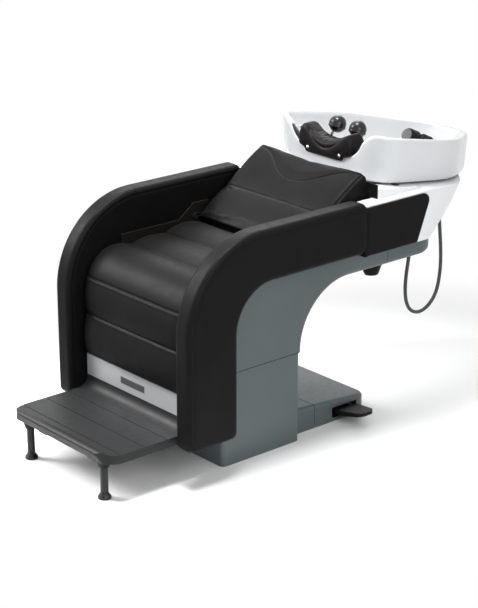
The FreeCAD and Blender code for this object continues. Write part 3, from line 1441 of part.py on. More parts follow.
def drain_fittings(bowl, drain):
    flange, neck, thick = numbers(S.strainer_flange, S.drain_radius - S.seat_gap, S.strainer_thickness)
    skirt = thick * STRAINER_HOLES
    cap = Part.makeCylinder(flange, thick * 3, drain - Vector(0, 0, thick))
    cap = largest(cap.fuse(Part.makeCylinder(neck, skirt, drain - Vector(0, 0, skirt))).cut(bowl))
    for index in range(STRAINER_HOLES):
        turn = 2 * math.pi * index / STRAINER_HOLES
        spot = drain + Vector(math.cos(turn), math.sin(turn), 0) * (neck / 2)
        cap = cap.cut(Part.makeCylinder(neck / STRAINER_HOLES, skirt * 4, spot - Vector(0, 0, skirt * 2)))
    node(formed("strainer_cap", cap), "drain_strainer")
    radius, wall = numbers(S.trap_pipe_radius - S.trap_wall * 2, S.trap_wall)
    foot = Vector(*numbers(ZERO, S.trap_place, S.trap_funnel_top - S.drain_tail_dip))
    length = drain.z - skirt - float(S.seat_gap) - foot.z
    pipe = Part.makeCylinder(radius, length, foot).cut(Part.makeCylinder(radius - wall, length, foot))
    node(formed("drain_pipe", pipe), "drain_tail")


def hand_shower(bowl, seat_point):
    way = SHOWER_WAY
    rise, depth = numbers(S.socket_flange_height * 2, S.socket_length)
    ring = Part.makeCylinder(float(S.socket_flange_radius), rise * 2, seat_point - way * rise, way)
    ring = ring.fuse(Part.makeCylinder(float(S.socket_outer_radius), depth + rise, seat_point - way * depth, way))
    bore = float(S.socket_bore + S.running_gap)
    ring = ring.cut(Part.makeCylinder(bore, depth * 4, seat_point - way * depth * 2, way)).cut(bowl)
    node(formed("socket_ring", largest(ring)), "shower_socket")
    place = fixed(seat_point + way * rise)
    gap, spigot, thin = S.seat_gap, S.shower_spigot_length, S.shower_spigot_radius
    grip, length = S.shower_grip_radius, S.shower_length
    head, tall, face = S.shower_head_radius, S.shower_head_height, S.shower_face_radius
    brow, cheek = length + tall * SHOWER_SHARES["brow"], length + tall * SHOWER_SHARES["cheek"]
    stick = [(ZERO, -spigot), (thin, -spigot), (thin, gap), (grip, gap), (thin, length * SHOWER_SHARES["waist"]),
             (grip, length), (head, brow), (head, cheek), (face, length + tall), (ZERO, length + tall)]
    node(turned("shower_stick", stick, place, way), "shower_handle")
    low = length + tall + gap
    high = low + S.shower_face_thickness
    node(turned("shower_disc", [(ZERO, low), (face, low), (face, high), (ZERO, high)], place, way), "shower_face")


def mixer_fittings(bowl, spot, way):
    rise, depth = numbers(S.mixer_flange_height, S.mixer_stem_length)
    stem = Part.makeCylinder(float(S.mixer_flange_radius), rise * 2, spot - way * rise, way)
    stem = stem.fuse(Part.makeCylinder(float(S.mixer_stem_radius), depth * 2, spot - way * depth, way))
    node(formed("mixer_stem", largest(stem.cut(bowl))), "mixer_cartridge")
    seat_point = spot + way * (rise + float(S.seat_gap))
    bore, depth = S.mixer_stem_radius + S.running_gap, S.mixer_stem_length - S.mixer_flange_height
    knob, tall = S.mixer_knob_radius, S.mixer_knob_height
    cap = [(bore, ZERO), (knob, ZERO), (knob * KNOB_SHARES["crown"], tall), (ZERO, tall * KNOB_SHARES["dome"]),
           (ZERO, depth), (bore, depth)]
    dome = turned("mixer_dome", cap, fixed(seat_point), way)
    root = seat_point + way * float(tall * KNOB_SHARES["lever"])
    root.x += float(knob * KNOB_SHARES["root"])
    lever = rod("mixer_lever", fixed(root), S.mixer_lever_radius, S.mixer_lever_length + S.mixer_lever_radius, "X")
    node(fuse("mixer_handle", [dome, lever]), "mixer_knob")


def neck_section(place, draw_in):
    """Front view of the neck rest at one place along it: it fills the notch and rises to two horns."""
    floor, flat, half = numbers(S.notch_floor + S.seat_gap, S.notch_half_floor, S.neck_half)
    wide, high = (float(S.notch_half_top) - flat) / 2, (float(S.rim_height) - floor) / 2
    bend = (wide * wide + high * high) / (2 * high) - float(S.seat_gap)
    reach = half - flat
    climb = bend - math.sqrt(bend * bend - reach * reach)
    halfway = math.asin(reach / bend) / 2
    crest, horn, horn_half = numbers(S.neck_crest - draw_in, S.neck_horn - draw_in, S.neck_horn_half - draw_in)
    ends = {}
    for way in (1, -1):
        points = ((flat, 0), (flat + bend * math.sin(halfway), bend * (1 - math.cos(halfway))), (half, climb),
                  ((half + horn_half) / 2 + float(S.neck_shoulder), (climb + horn) / 2), (horn_half, horn))
        ends[way] = [Vector(way * x, place, floor + z) for x, z in points]
    right, left = ends[1], ends[-1]
    return Part.Wire([
        line(left[0], right[0]), Part.Arc(*right[:3]).toShape(), Part.Arc(*right[2:]).toShape(),
        Part.Arc(right[4], Vector(0, place, floor + crest), left[4]).toShape(),
        Part.Arc(*reversed(left[2:])).toShape(), Part.Arc(*reversed(left[:3])).toShape(),
    ])


def neck_rest():
    """A saddle over the notch, with a studded flap down the bowl's front."""
    near, depth, edge = numbers(S.bowl_front - S.neck_front, S.neck_depth, S.neck_edge)
    wires = []
    for place, draw_in in ((near, S.neck_draw), (near + edge, ZERO), (near + depth - edge, ZERO),
                           (near + depth, S.neck_draw)):
        wires.append(neck_section(place, draw_in))
    saddle = Part.makeLoft(wires, True, True)
    floor, drop, rise = numbers(S.notch_floor + S.seat_gap, S.neck_flap, S.neck_flap_rise)
    low_half, high_half = numbers(S.neck_flap_half, S.neck_flap_half + S.neck_flap_spread)
    corners = [Vector(x, near, floor + z) for x, z in
               ((-low_half, -drop), (low_half, -drop), (high_half, rise), (-high_half, rise), (-low_half, -drop))]
    flap = Part.Face(Part.makePolygon(corners)).extrude(Vector(0, float(S.neck_flap_thickness), 0))
    node(formed("neck_saddle", saddle.fuse(flap)), "neck_cushion")
    studs = []
    for way in (1, -1):
        at = (S.stud_place * way, S.bowl_front - S.neck_front - S.stud_height, S.notch_floor + S.stud_height)
        studs.append(rod(f"stud_{way + 1}", at, S.stud_radius, S.stud_height, "Y"))
    node(group("stud_pair", studs), "neck_studs")


def head_support():
    rear, height, radius = S.support_hinge_rear, S.support_hinge_height, S.support_rod_radius
    reach = float(S.support_ball_place + S.support_block_width / 2 + S.support_rod_radius * 4)
    bar = Part.makeCylinder(float(radius), reach * 2, Vector(-reach, *numbers(rear, height)), Vector(1, 0, 0))
    balls = []
    for way in (1, -1):
        foot = Vector(way * (reach - float(radius)), *numbers(rear, height))
        centre = Vector(way * float(S.support_ball_place), *numbers(S.support_ball_rear, S.support_ball_height))
        climb = centre - foot
        stalk = Part.makeCylinder(float(radius), climb.Length, foot, climb)
        bar = bar.fuse(stalk)
        balls.append(Part.makeSphere(float(S.support_ball_radius), centre).cut(stalk))
    node(formed("support_bar", bar), "head_support_bracket")
    node(formed("support_balls", Part.makeCompound(balls)), "head_support_pads")


def bowl_hinge():
    half = S.bowl_bracket_depth / 2
    rear, height = S.bowl_hinge_rear, S.bowl_hinge_height
    gap = S.bowl_lug_thickness / 2 + S.seat_gap
    brackets = []
    side = []
    for place in (rear - half, rear + half):
        side.append((place, S.housing_rim_height - lean("skirt", place) + S.seat_gap))
    side += [(rear + S.bowl_shaft_radius * 2, height + S.bowl_shaft_radius * 2),
             (rear - S.bowl_shaft_radius * 2, height + S.bowl_shaft_radius * 2)]
    for way in (1, -1):
        near = (S.bowl_lug_place + gap) * way
        far = near + S.bowl_bracket_thickness * way
        span = (near, far) if way > 0 else (far, near)
        brackets.append(profile(f"bowl_bracket_{way + 1}", "YZ_Plane", side, *span))
    length = (S.bowl_lug_place + gap + S.bowl_bracket_thickness) * 2
    bore = rod("bowl_bracket_bore", (-length, rear, height), S.bowl_shaft_radius + S.running_gap, length * 2, "X")
    node(cut("bowl_bracket_bored", group("bowl_bracket_pair", brackets), bore), "bowl_hinge_brackets")
    node(rod("bowl_axle", (-length / 2, rear, height), S.bowl_shaft_radius, length, "X"), "bowl_hinge_shaft")


def plumbing():
    wall, pipe = S.trap_wall, S.trap_pipe_radius
    mouth = S.trap_funnel_top - S.trap_funnel_height
    bottle = [(ZERO, S.trap_bottle_bottom), (S.trap_bottle_radius, S.trap_bottle_bottom),
              (S.trap_bottle_radius, S.trap_bottle_top), (pipe, S.trap_bottle_top), (pipe, mouth),
              (S.trap_funnel_radius, S.trap_funnel_top), (S.trap_funnel_radius - wall, S.trap_funnel_top),
              (pipe - wall, mouth), (pipe - wall, S.trap_bottle_bottom + wall), (ZERO, S.trap_bottle_bottom + wall)]
    node(turned("trap_bottle", bottle, (ZERO, S.trap_place, ZERO)), "waste_trap")
    floor = S.cantilever_top + S.housing_wall + S.seat_gap
    half_long, half_wide = S.valve_length / 2, S.valve_width / 2
    body = box("valve_body", (S.valve_side - half_wide, S.valve_side + half_wide),
               (S.valve_place - half_long, S.valve_place + half_long), (floor, floor + S.valve_height))
    stubs = []
    for index, share in enumerate(VALVE_STUB_SHARES):
        at = (S.valve_side + half_wide, S.valve_place + half_long * share, floor + S.valve_height / 2)
        stubs.append(rod(f"valve_stub_{index}", at, S.valve_height / 4, S.valve_width / 2, "X"))
    node(fuse("valve_assembly", [body] + stubs), "mixing_valve")


HOSE_ROUTE = (
    (60, 884, 590), (60, 884, 520), (60, 874, 425), (60, 863, 362), (60, 861, 310), (60, 868, 262), (60, 893, 224),
    (60, 937, 208), (60, 983, 222), (60, 1018, 256), (60, 1035, 304), (60, 1042, 372), (60, 1037, 448),
    (60, 1027, 528), (60, 1020, 592), (60, 1020, 640),
)


def tube_path(points):
    """Straight runs joined by the largest tangent arcs that the runs allow."""
    edges, radii, start = [], [], points[0]
    for before, corner, after in zip(points, points[1:], points[2:]):
        come, leave = (corner - before), (after - corner)
        run = RUN_SHARE * min(come.Length, leave.Length)
        turn = come.getAngle(leave)
        radii.append(run / math.tan(turn / 2))
        first = corner - come.normalize() * run
        last = corner + leave.normalize() * run
        middle = corner + (leave - come).normalize() * (radii[-1] * (1 / math.cos(turn / 2) - 1))
        edges += [line(start, first), Part.Arc(first, middle, last).toShape()]
        start = last
    edges.append(line(start, points[-1]))
    return Part.Wire(edges), radii


def shower_hose(housing):
    points = [Vector(*point) for point in HOSE_ROUTE]
    path, radii = tube_path(points)
    radius = float(S.hose_radius)
    disc = Part.Wire(Part.makeCircle(radius, points[0], points[1] - points[0]))
    tube = path.makePipeShell([disc], True, False)
    print("hose length", round(path.Length, 1), "volume share",
          round(tube.Volume / (math.pi * radius * radius * path.Length), 4))
    print("hose radii", [round(value) for value in radii])
    node(formed("hose_tube", tube), "shower_hose")
    glands = []
    gland_radius = float(S.gland_radius)
    for end in (points[0], points[-1]):
        reach = float(S.gland_length * 6)
        cone = Part.makeCone(gland_radius * GLAND_TIP_SHARE, gland_radius, float(S.gland_length), end)
        post = Part.makeCylinder(gland_radius, reach, end + Vector(0, 0, float(S.gland_length)))
        nipple = cone.fuse(post).cut(housing.Shape).Solids
        glands.append(min(nipple, key=lambda solid: solid.BoundBox.ZMin))
    node(formed("gland_pair", Part.makeCompound(glands)), "hose_glands")


base_plate()
column_lower_cover()
column_upper_cover()
rear_under_cover()
trap_cover()
base_covers()
lift()
hydraulic_pump()
cantilever_frame()
pedal()
footstep()
arms()
seat()
backrest()
housing = bowl_housing()
housing_trim()
bowl, drain_point, shower_point, mixer_point, mixer_way = basin()
drain_fittings(bowl, drain_point)
hand_shower(bowl, shower_point)
mixer_fittings(bowl, mixer_point, mixer_way)
neck_rest()
head_support()
bowl_hinge()
plumbing()
shower_hose(housing)

doc.recompute()
failed = [item.Label for item in doc.Objects if {"Invalid", "Error"} & set(item.State)]
failed += [item.Label for item in nodes if item.Shape.isNull() or not item.Shape.isValid()]
if failed:
    raise SystemExit(f"not built: {failed}")
os.makedirs("parts", exist_ok=True)
for piece in nodes:
    piece.Shape.exportStep(os.path.join("parts", f"{piece.Label}.step"))
print(len(nodes), "nodes")
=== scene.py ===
import json
import math

import bmesh
import bpy
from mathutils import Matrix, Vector


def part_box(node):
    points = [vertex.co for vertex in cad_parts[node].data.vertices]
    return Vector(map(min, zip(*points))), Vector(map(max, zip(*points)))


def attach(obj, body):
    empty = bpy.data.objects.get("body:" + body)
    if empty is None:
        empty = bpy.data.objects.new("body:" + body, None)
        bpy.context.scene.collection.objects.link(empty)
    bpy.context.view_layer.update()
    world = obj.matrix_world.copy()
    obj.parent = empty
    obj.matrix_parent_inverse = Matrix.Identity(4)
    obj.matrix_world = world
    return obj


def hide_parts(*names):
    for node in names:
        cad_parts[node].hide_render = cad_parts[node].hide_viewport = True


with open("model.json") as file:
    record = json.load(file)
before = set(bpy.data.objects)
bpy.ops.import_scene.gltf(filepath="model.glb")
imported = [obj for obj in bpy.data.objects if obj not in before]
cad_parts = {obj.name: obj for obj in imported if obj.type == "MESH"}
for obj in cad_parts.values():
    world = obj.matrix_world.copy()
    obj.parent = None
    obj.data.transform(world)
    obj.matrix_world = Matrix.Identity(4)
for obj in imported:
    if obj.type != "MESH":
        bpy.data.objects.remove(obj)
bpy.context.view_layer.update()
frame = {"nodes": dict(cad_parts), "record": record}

scene = bpy.context.scene
nodes = frame["nodes"]


# Materials

def shader(name, colour, roughness, metallic=0.0, **sockets):
    material = bpy.data.materials.new(name)
    material.use_nodes = True
    bsdf = material.node_tree.nodes["Principled BSDF"]
    bsdf.inputs["Base Color"].default_value = (*colour, 1)
    bsdf.inputs["Roughness"].default_value = roughness
    bsdf.inputs["Metallic"].default_value = metallic
    for socket, value in sockets.items():
        bsdf.inputs[socket.replace("_", " ")].default_value = value
    return material


NOISE_ROUGHNESS = 0.55
RAMP_START, RAMP_END = 0.3, 0.7


class Surface:
    """Adds procedural detail to a material, in metres of the shared frame."""

    def __init__(self, material):
        self.material = material
        self.tree = material.node_tree
        self.bsdf = self.tree.nodes["Principled BSDF"]
        self.coords = self.tree.nodes.new("ShaderNodeTexCoord").outputs["Object"]
        self.normal = None

    def link(self, output, socket):
        self.tree.links.new(output, socket)

    def stretched(self, scale):
        mapping = self.tree.nodes.new("ShaderNodeMapping")
        mapping.inputs["Scale"].default_value = scale
        self.link(self.coords, mapping.inputs["Vector"])
        return mapping.outputs["Vector"]

    def noise(self, scale, detail, coords=None):
        texture = self.tree.nodes.new("ShaderNodeTexNoise")
        texture.inputs["Scale"].default_value = scale
        texture.inputs["Detail"].default_value = detail
        texture.inputs["Roughness"].default_value = NOISE_ROUGHNESS
        self.link(coords or self.coords, texture.inputs["Vector"])
        return texture.outputs["Fac"]

    def cells(self, scale):
        texture = self.tree.nodes.new("ShaderNodeTexVoronoi")
        texture.inputs["Scale"].default_value = scale
        self.link(self.coords, texture.inputs["Vector"])
        return texture.outputs["Distance"]

    def ranged(self, value, low, high):
        node = self.tree.nodes.new("ShaderNodeMapRange")
        node.inputs["From Min"].default_value = RAMP_START
        node.inputs["From Max"].default_value = RAMP_END
        node.inputs["To Min"].default_value = low
        node.inputs["To Max"].default_value = high
        self.link(value, node.inputs["Value"])
        return node.outputs["Result"]

    def bump(self, height, distance, strength):
        node = self.tree.nodes.new("ShaderNodeBump")
        node.inputs["Strength"].default_value = strength
        node.inputs["Distance"].default_value = distance
        self.link(height, node.inputs["Height"])
        if self.normal:
            self.link(self.normal, node.inputs["Normal"])
        self.normal = node.outputs["Normal"]
        self.link(self.normal, self.bsdf.inputs["Normal"])

    def roughness(self, value, low, high):
        self.link(self.ranged(value, low, high), self.bsdf.inputs["Roughness"])

    def tint(self, value, dark, light):
        ramp = self.tree.nodes.new("ShaderNodeValToRGB")
        ramp.color_ramp.elements[0].position = RAMP_START
        ramp.color_ramp.elements[1].position = RAMP_END
        ramp.color_ramp.elements[0].color = (*dark, 1)
        ramp.color_ramp.elements[1].color = (*light, 1)
        self.link(value, ramp.inputs["Fac"])
        self.link(ramp.outputs["Color"], self.bsdf.inputs["Base Color"])


def shades(colour, spread):
    return [tuple(channel * (1 + way * spread) for channel in colour) for way in (-1, 1)]


def vinyl(name, colour, roughness=0.46, shine=0.06):
    skin = Surface(shader(name, colour, roughness, Specular_IOR_Level=shine))
    skin.tint(skin.noise(9.0, 4.0), *shades(colour, 0.14))
    skin.roughness(skin.noise(38.0, 5.0), roughness - 0.06, roughness + 0.07)
    skin.bump(skin.noise(26.0, 3.0), 0.0012, 0.2)
    skin.bump(skin.cells(760.0), 0.00028, 0.45)
    return skin.material


def moulding(name, colour, roughness, grain=1300.0, depth=0.00012, **sockets):
    skin = Surface(shader(name, colour, roughness, **sockets))
    skin.tint(skin.noise(5.0, 4.0), *shades(colour, 0.05))
    skin.roughness(skin.noise(55.0, 4.0), roughness - 0.05, roughness + 0.06)
    skin.bump(skin.noise(grain, 2.0), depth, 0.5)
    return skin.material


def glaze(name, colour, roughness, coat):
    gloss = {"Coat_Weight": coat, "Coat_Roughness": 0.04, "Specular_IOR_Level": 0.25}
    skin = Surface(shader(name, colour, roughness, **gloss))
    skin.tint(skin.noise(4.0, 3.0), *shades(colour, 0.012))
    skin.roughness(skin.noise(22.0, 3.0), roughness - 0.03, roughness + 0.04)
    skin.bump(skin.noise(14.0, 2.0), 0.0006, 0.12)
    return skin.material


def metal(name, colour, roughness, along=None, metallic=1.0):
    skin = Surface(shader(name, colour, roughness, metallic))
    coords = skin.stretched(along) if along else None
    streaks = skin.noise(1.0 if along else 300.0, 4.0, coords)
    skin.tint(streaks, *shades(colour, 0.06))
    skin.roughness(streaks, roughness - 0.08, roughness + 0.1)
    skin.bump(streaks, 0.00006, 0.5)
    return skin.material


MATERIALS = {
    "black_vinyl": vinyl("black_vinyl", (0.0058, 0.0058, 0.006)),
    "brown_vinyl": vinyl("brown_vinyl", (0.0105, 0.0086, 0.0082), 0.46, 0.15),
    "neck_pad": vinyl("neck_pad", (0.0085, 0.0074, 0.0076), 0.44, 0.1),
    "soft_pad": moulding("soft_pad", (0.006, 0.006, 0.0063), 0.3, Specular_IOR_Level=0.4),
    "grey_cover": moulding("grey_cover", (0.075, 0.092, 0.094), 0.4, 900.0, Specular_IOR_Level=0.32),
    "white_shell": glaze("white_shell", (0.765, 0.78, 0.79), 0.3, 0.06),
    "white_bowl": glaze("white_bowl", (0.645, 0.661, 0.673), 0.22, 0.12),
    "frame_steel": moulding("frame_steel", (0.01, 0.01, 0.011), 0.42, 700.0, 0.0002,
                            Specular_IOR_Level=0.25),
    "bright_steel": metal("bright_steel", (0.55, 0.56, 0.58), 0.3),
    "chrome": metal("chrome", (0.82, 0.82, 0.83), 0.1),
    "brushed_plate": metal("brushed_plate", (0.42, 0.43, 0.44), 0.42, (3.0, 420.0, 900.0), 0.3),
    "step_plastic": moulding("step_plastic", (0.0125, 0.0128, 0.0132), 0.5, 520.0, 0.0003,
                             Specular_IOR_Level=0.2),
    "black_plastic": moulding("black_plastic", (0.005, 0.0052, 0.0054), 0.44, 1100.0, 0.0001,
                              Specular_IOR_Level=0.12),
    "shower_rose": moulding("shower_rose", (0.05, 0.05, 0.053), 0.4),
    "hose_sleeve": moulding("hose_sleeve", (0.035, 0.037, 0.041), 0.38, 420.0, 0.0003),
    "pipe_plastic": moulding("pipe_plastic", (0.5, 0.5, 0.5), 0.4),
    "valve_brass": metal("valve_brass", (0.55, 0.4, 0.18), 0.35),
    "plywood": moulding("plywood", (0.4, 0.28, 0.16), 0.6, 120.0, 0.0004),
}


def dress(piece, slot):
    piece.data.materials.clear()
    piece.data.materials.append(MATERIALS[slot])
    if piece.type == "MESH":
        for polygon in piece.data.polygons:
            polygon.material_index = 0


for entry in frame["record"]["subparts"]:
    dress(nodes[entry["node"]], entry["material_slot"])


# Pieces

JOIN_GAP = 0.00002
SMOOTH_SHARE = 0.5
EDGE_ANGLE = 35
STUFF_PRESSURE, STUFF_FRAMES = 4.0, 20
CLOTH_STIFFNESS, CLOTH_BENDING = 25, 2
SEAM_REACH = 3


def linked(name, data):
    piece = bpy.data.objects.new(name, data)
    scene.collection.objects.link(piece)
    return piece


def seated(piece, slot, body, *stands_for):
    dress(piece, slot)
    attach(piece, body)
    if stands_for:
        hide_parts(*stands_for)


def smooth(mesh):
    for polygon in mesh.polygons:
        polygon.use_smooth = True


def baked(piece):
    """Applies the piece's modifiers to its mesh."""
    graph = bpy.context.evaluated_depsgraph_get()
    mesh = bpy.data.meshes.new_from_object(piece.evaluated_get(graph))
    piece.modifiers.clear()
    piece.data = mesh


def copied(name, node):
    """A copy of a solid with its faces joined."""
    mesh = nodes[node].data.copy()
    net = bmesh.new()
    net.from_mesh(mesh)
    bmesh.ops.remove_doubles(net, verts=net.verts, dist=JOIN_GAP)
    net.to_mesh(mesh)
    net.free()
    return linked(name, mesh)


def remeshed(name, node, voxel, rounds=2):
    """A copy of a solid as an even net of small faces."""
    piece = copied(name, node)
    grid = piece.modifiers.new("grid", "REMESH")
    grid.mode = "VOXEL"
    grid.voxel_size = voxel
    if rounds:
        soften = piece.modifiers.new("soften", "SMOOTH")
        soften.factor = SMOOTH_SHARE
        soften.iterations = rounds
    baked(piece)
    smooth(piece.data)
    return piece


def stuffed(piece, held, swell):
    """Inflates the cover over its filling; held points stay, and no point moves further than the swell."""
    rest = [vertex.co.copy() for vertex in piece.data.vertices]
    group = piece.vertex_groups.new(name="held")
    fixed = [index for index, point in enumerate(rest) if held(point)]
    group.add(fixed, 1.0, "REPLACE")
    cloth = piece.modifiers.new("cloth", "CLOTH")
    cloth.settings.vertex_group_mass = "held"
    cloth.settings.use_pressure = True
    cloth.settings.uniform_pressure_force = STUFF_PRESSURE
    cloth.settings.effector_weights.gravity = 0
    cloth.settings.tension_stiffness = CLOTH_STIFFNESS
    cloth.settings.compression_stiffness = CLOTH_STIFFNESS
    cloth.settings.bending_stiffness = CLOTH_BENDING
    cloth.point_cache.frame_start = 1
    cloth.point_cache.frame_end = STUFF_FRAMES
    for number in range(1, STUFF_FRAMES + 1):
        scene.frame_set(number)
    graph = bpy.context.evaluated_depsgraph_get()
    inflated = piece.evaluated_get(graph).to_mesh()
    moved = [vertex.co.copy() for vertex in inflated.vertices]
    piece.evaluated_get(graph).to_mesh_clear()
    piece.modifiers.remove(cloth)
    piece.vertex_groups.clear()
    for vertex, start, end in zip(piece.data.vertices, rest, moved):
        shift = end - start
        if shift.length > swell:
            shift = shift.normalized() * swell
        vertex.co = start + shift
    scene.frame_set(1)


def sewn(piece, depth, width, distance):
    """Pulls the cover in along seams; distance gives how far a point lies from the nearest seam."""
    piece.data.update()
    normals = [vertex.normal.copy() for vertex in piece.data.vertices]
    for vertex, normal in zip(piece.data.vertices, normals):
        away = distance(vertex.co)
        if away is not None and away < width * SEAM_REACH:
            vertex.co -= normal * (depth * math.exp(-((away / width) ** 2)))


def swollen(piece, growth, share):
    """Thickens a cover evenly, by its share at each point."""
    piece.data.update()
    normals = [vertex.normal.copy() for vertex in piece.data.vertices]
    for vertex, normal in zip(piece.data.vertices, normals):
        vertex.co += normal * (growth * share(vertex.co))


def finer(piece):
    subdivide = piece.modifiers.new("finer", "SUBSURF")
    subdivide.levels = 1
    subdivide.render_levels = 1
    baked(piece)


def settled(piece):
    smooth(piece.data)
    return piece


def crisp(piece):
    """Smooth over curves and sharp at edges."""
    smooth(piece.data)
    edges = piece.modifiers.new("edges", "EDGE_SPLIT")
    edges.split_angle = math.radians(EDGE_ANGLE)


# Seat

CUSHION_VOXEL = 0.005
SEAT_FRONT_SEAMS = (0.543, 0.419)
SEAT_TOP_SEAMS = (-0.126, 0.016)
SEAT_UNDER_HEIGHT, SEAT_UNDER_START = 0.52, -0.27
SEAT_FRONT_END, SEAT_TOP_START = -0.2, 0.56
SEAT_REAR_HEM, SEAT_LOW_HEM = 0.004, 0.006
SEAT_SEAM_HOLD, SEAT_SWELL = 0.004, 0.006
SEAT_SEAM_DEPTH, SEAT_SEAM_WIDTH = 0.0036, 0.0032
WELT_DROP, WELT_DEPTH, WELT_WIDTH = 0.008, -0.0016, 0.0045
seat_low, seat_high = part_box("seat_cushion")


def under_seat(point):
    return point.z < SEAT_UNDER_HEIGHT and point.y > SEAT_UNDER_START


def seat_line(point, drop):
    """Distance from the nearest seam, or from a line that runs a drop below the seams."""
    if under_seat(point):
        return None
    gaps = [abs(point.z - height + drop) for height in SEAT_FRONT_SEAMS if point.y < SEAT_FRONT_END]
    gaps += [abs(point.y - place + drop) for place in SEAT_TOP_SEAMS if point.z > SEAT_TOP_START]
    return min(gaps) if gaps else None


def seat_seam(point):
    return seat_line(point, 0)


def seat_welt(point):
    return seat_line(point, WELT_DROP)


def seat_held(point):
    hemmed = point.y > seat_high.y - SEAT_REAR_HEM or point.z < seat_low.z + SEAT_LOW_HEM
    return under_seat(point) or hemmed or (seat_seam(point) or 1) < SEAT_SEAM_HOLD


seat = remeshed("seat_pad", "seat_cushion", CUSHION_VOXEL)
stuffed(seat, seat_held, SEAT_SWELL)
finer(seat)
sewn(seat, SEAT_SEAM_DEPTH, SEAT_SEAM_WIDTH, seat_seam)
sewn(seat, WELT_DEPTH, WELT_WIDTH, seat_welt)
seated(settled(seat), "black_vinyl", "chair", "seat_cushion")


# Backrest

BACK_LOW, BACK_TOP = Vector((0, 0.158, 0.661)), Vector((0, 0.447, 0.862))
BACK_ALONG = (BACK_TOP - BACK_LOW).normalized()
BACK_LENGTH = (BACK_TOP - BACK_LOW).length
BACK_OUT = Vector((0, -BACK_ALONG.z, BACK_ALONG.y))
BACK_MID = 0.444
BACK_EDGE = 0.2475
SMILE_TOP, SMILE_DIP, SMILE_HALF, SMILE_POWER, SMILE_END = 0.98, 0.286, 0.142, 2.5, 0.24
SLOPE_STEP = 0.001
BACK_FACE, BACK_FLANK, BACK_REAR = -0.03, -0.035, -0.05
BACK_SEAM_HOLD, BACK_SWELL = 0.003, 0.004
BACK_SEAM_DEPTH, BACK_SEAM_WIDTH = 0.0032, 0.003
BACK_EDGE_DEPTH, BACK_EDGE_WIDTH = 0.0018, 0.0026


def back_place(point):
    offset = point - BACK_LOW
    return offset.dot(BACK_ALONG) / BACK_LENGTH, offset.dot(BACK_OUT)


def smile(side):
    """Share of the backrest's length at which the headrest's curved seam runs."""
    return SMILE_TOP - SMILE_DIP * math.exp(-((abs(side) / SMILE_HALF) ** SMILE_POWER))


def back_seam(point):
    along, out = back_place(point)
    if out < BACK_FACE:
        return None
    gaps = [abs(along - BACK_MID) * BACK_LENGTH]
    if abs(point.x) < SMILE_END:
        rise = smile(point.x + SLOPE_STEP) - smile(point.x - SLOPE_STEP)
        slope = rise / (2 * SLOPE_STEP) * BACK_LENGTH
        gaps.append(abs(along - smile(point.x)) * BACK_LENGTH / math.sqrt(1 + slope * slope))
    return min(gaps)


def back_edge(point):
    return abs(abs(point.x) - BACK_EDGE) if back_place(point)[1] > BACK_FLANK else None


def back_held(point):
    return back_place(point)[1] < BACK_REAR or (back_seam(point) or 1) < BACK_SEAM_HOLD


back = remeshed("back_pad", "backrest_cushion", CUSHION_VOXEL)
stuffed(back, back_held, BACK_SWELL)
finer(back)
sewn(back, BACK_SEAM_DEPTH, BACK_SEAM_WIDTH, back_seam)
sewn(back, BACK_EDGE_DEPTH, BACK_EDGE_WIDTH, back_edge)
seated(settled(back), "black_vinyl", "back", "backrest_cushion")


# Arms

ARM_FRONT, ARM_TOP, ARM_BEND = -0.365, 0.790, 0.300
ARM_SEAM_INSET, ARM_SEAM_DEPTH, ARM_SEAM_WIDTH = 0.020, 0.0024, 0.0028
ARM_VOXEL, PANEL_VOXEL, APRON_VOXEL, LINING_VOXEL = 0.0034, 0.003, 0.002, 0.0018


def arm_seam(point):
    """Distance from the seam that follows the arm's outer outline on both its sides."""
    rear, height = point.y - (ARM_FRONT + ARM_BEND), point.z - (ARM_TOP - ARM_BEND)
    if height < 0:
        inside = rear + ARM_BEND
    elif rear > 0:
        inside = ARM_BEND - height
    else:
        inside = ARM_BEND - math.hypot(rear, height)
    return abs(inside - ARM_SEAM_INSET)


for side in ("right", "left"):
    node = f"{side}_arm"
    arm = remeshed(f"{side}_arm_pad", node, ARM_VOXEL)
    sewn(arm, ARM_SEAM_DEPTH, ARM_SEAM_WIDTH, arm_seam)
    seated(settled(arm), "black_vinyl", "chair", node)

    node = f"{side}_side_panel"
    panel = remeshed(f"{side}_panel_pad", node, PANEL_VOXEL)
    seated(settled(panel), "black_vinyl", "chair", node)

apron = remeshed("apron_pad", "housing_apron", APRON_VOXEL, 1)
seated(settled(apron), "brown_vinyl", "chair", "housing_apron")
linings = remeshed("lining_cloth", "arm_linings", LINING_VOXEL, 0)
seated(settled(linings), "brown_vinyl", "chair", "arm_linings")


# Neck cushion and head support

stud_low, stud_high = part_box("neck_studs")
stud_radius = (stud_high.z - stud_low.z) / 2
STUD_PLACE, STUD_HEIGHT = stud_high.x - stud_radius, stud_low.z + stud_radius
neck_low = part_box("neck_cushion")[0]
NECK_VOXEL, NECK_ROUNDS = 0.0035, 24
NECK_FACE, NECK_HEM, STUD_GRIP, STUD_EASE = 0.02, 0.006, 0.012, 0.02
NECK_GROWTH, NECK_SWELL = 0.0035, 0.007
FOLD_HEIGHT, FOLD_CURVE, FOLD_REACH, FOLD_DEPTH, FOLD_WIDTH = 0.884, 7.2, 0.022, 0.0036, 0.0042
CREASE_PLACES, CREASE_LEAN = (0.004, -0.017, 0.026), 0.25
CREASE_START, CREASE_REACH, CREASE_DEPTH, CREASE_WIDTH = 0.888, 0.055, 0.0007, 0.0045


def stud_gap(point):
    """Distance from the nearer stud, seen from the front."""
    return math.hypot(abs(point.x) - STUD_PLACE, point.z - STUD_HEIGHT)


def neck_held(point):
    by_stud = stud_gap(point) < STUD_GRIP and point.y < neck_low.y + NECK_FACE
    return by_stud or point.z < neck_low.z + NECK_HEM


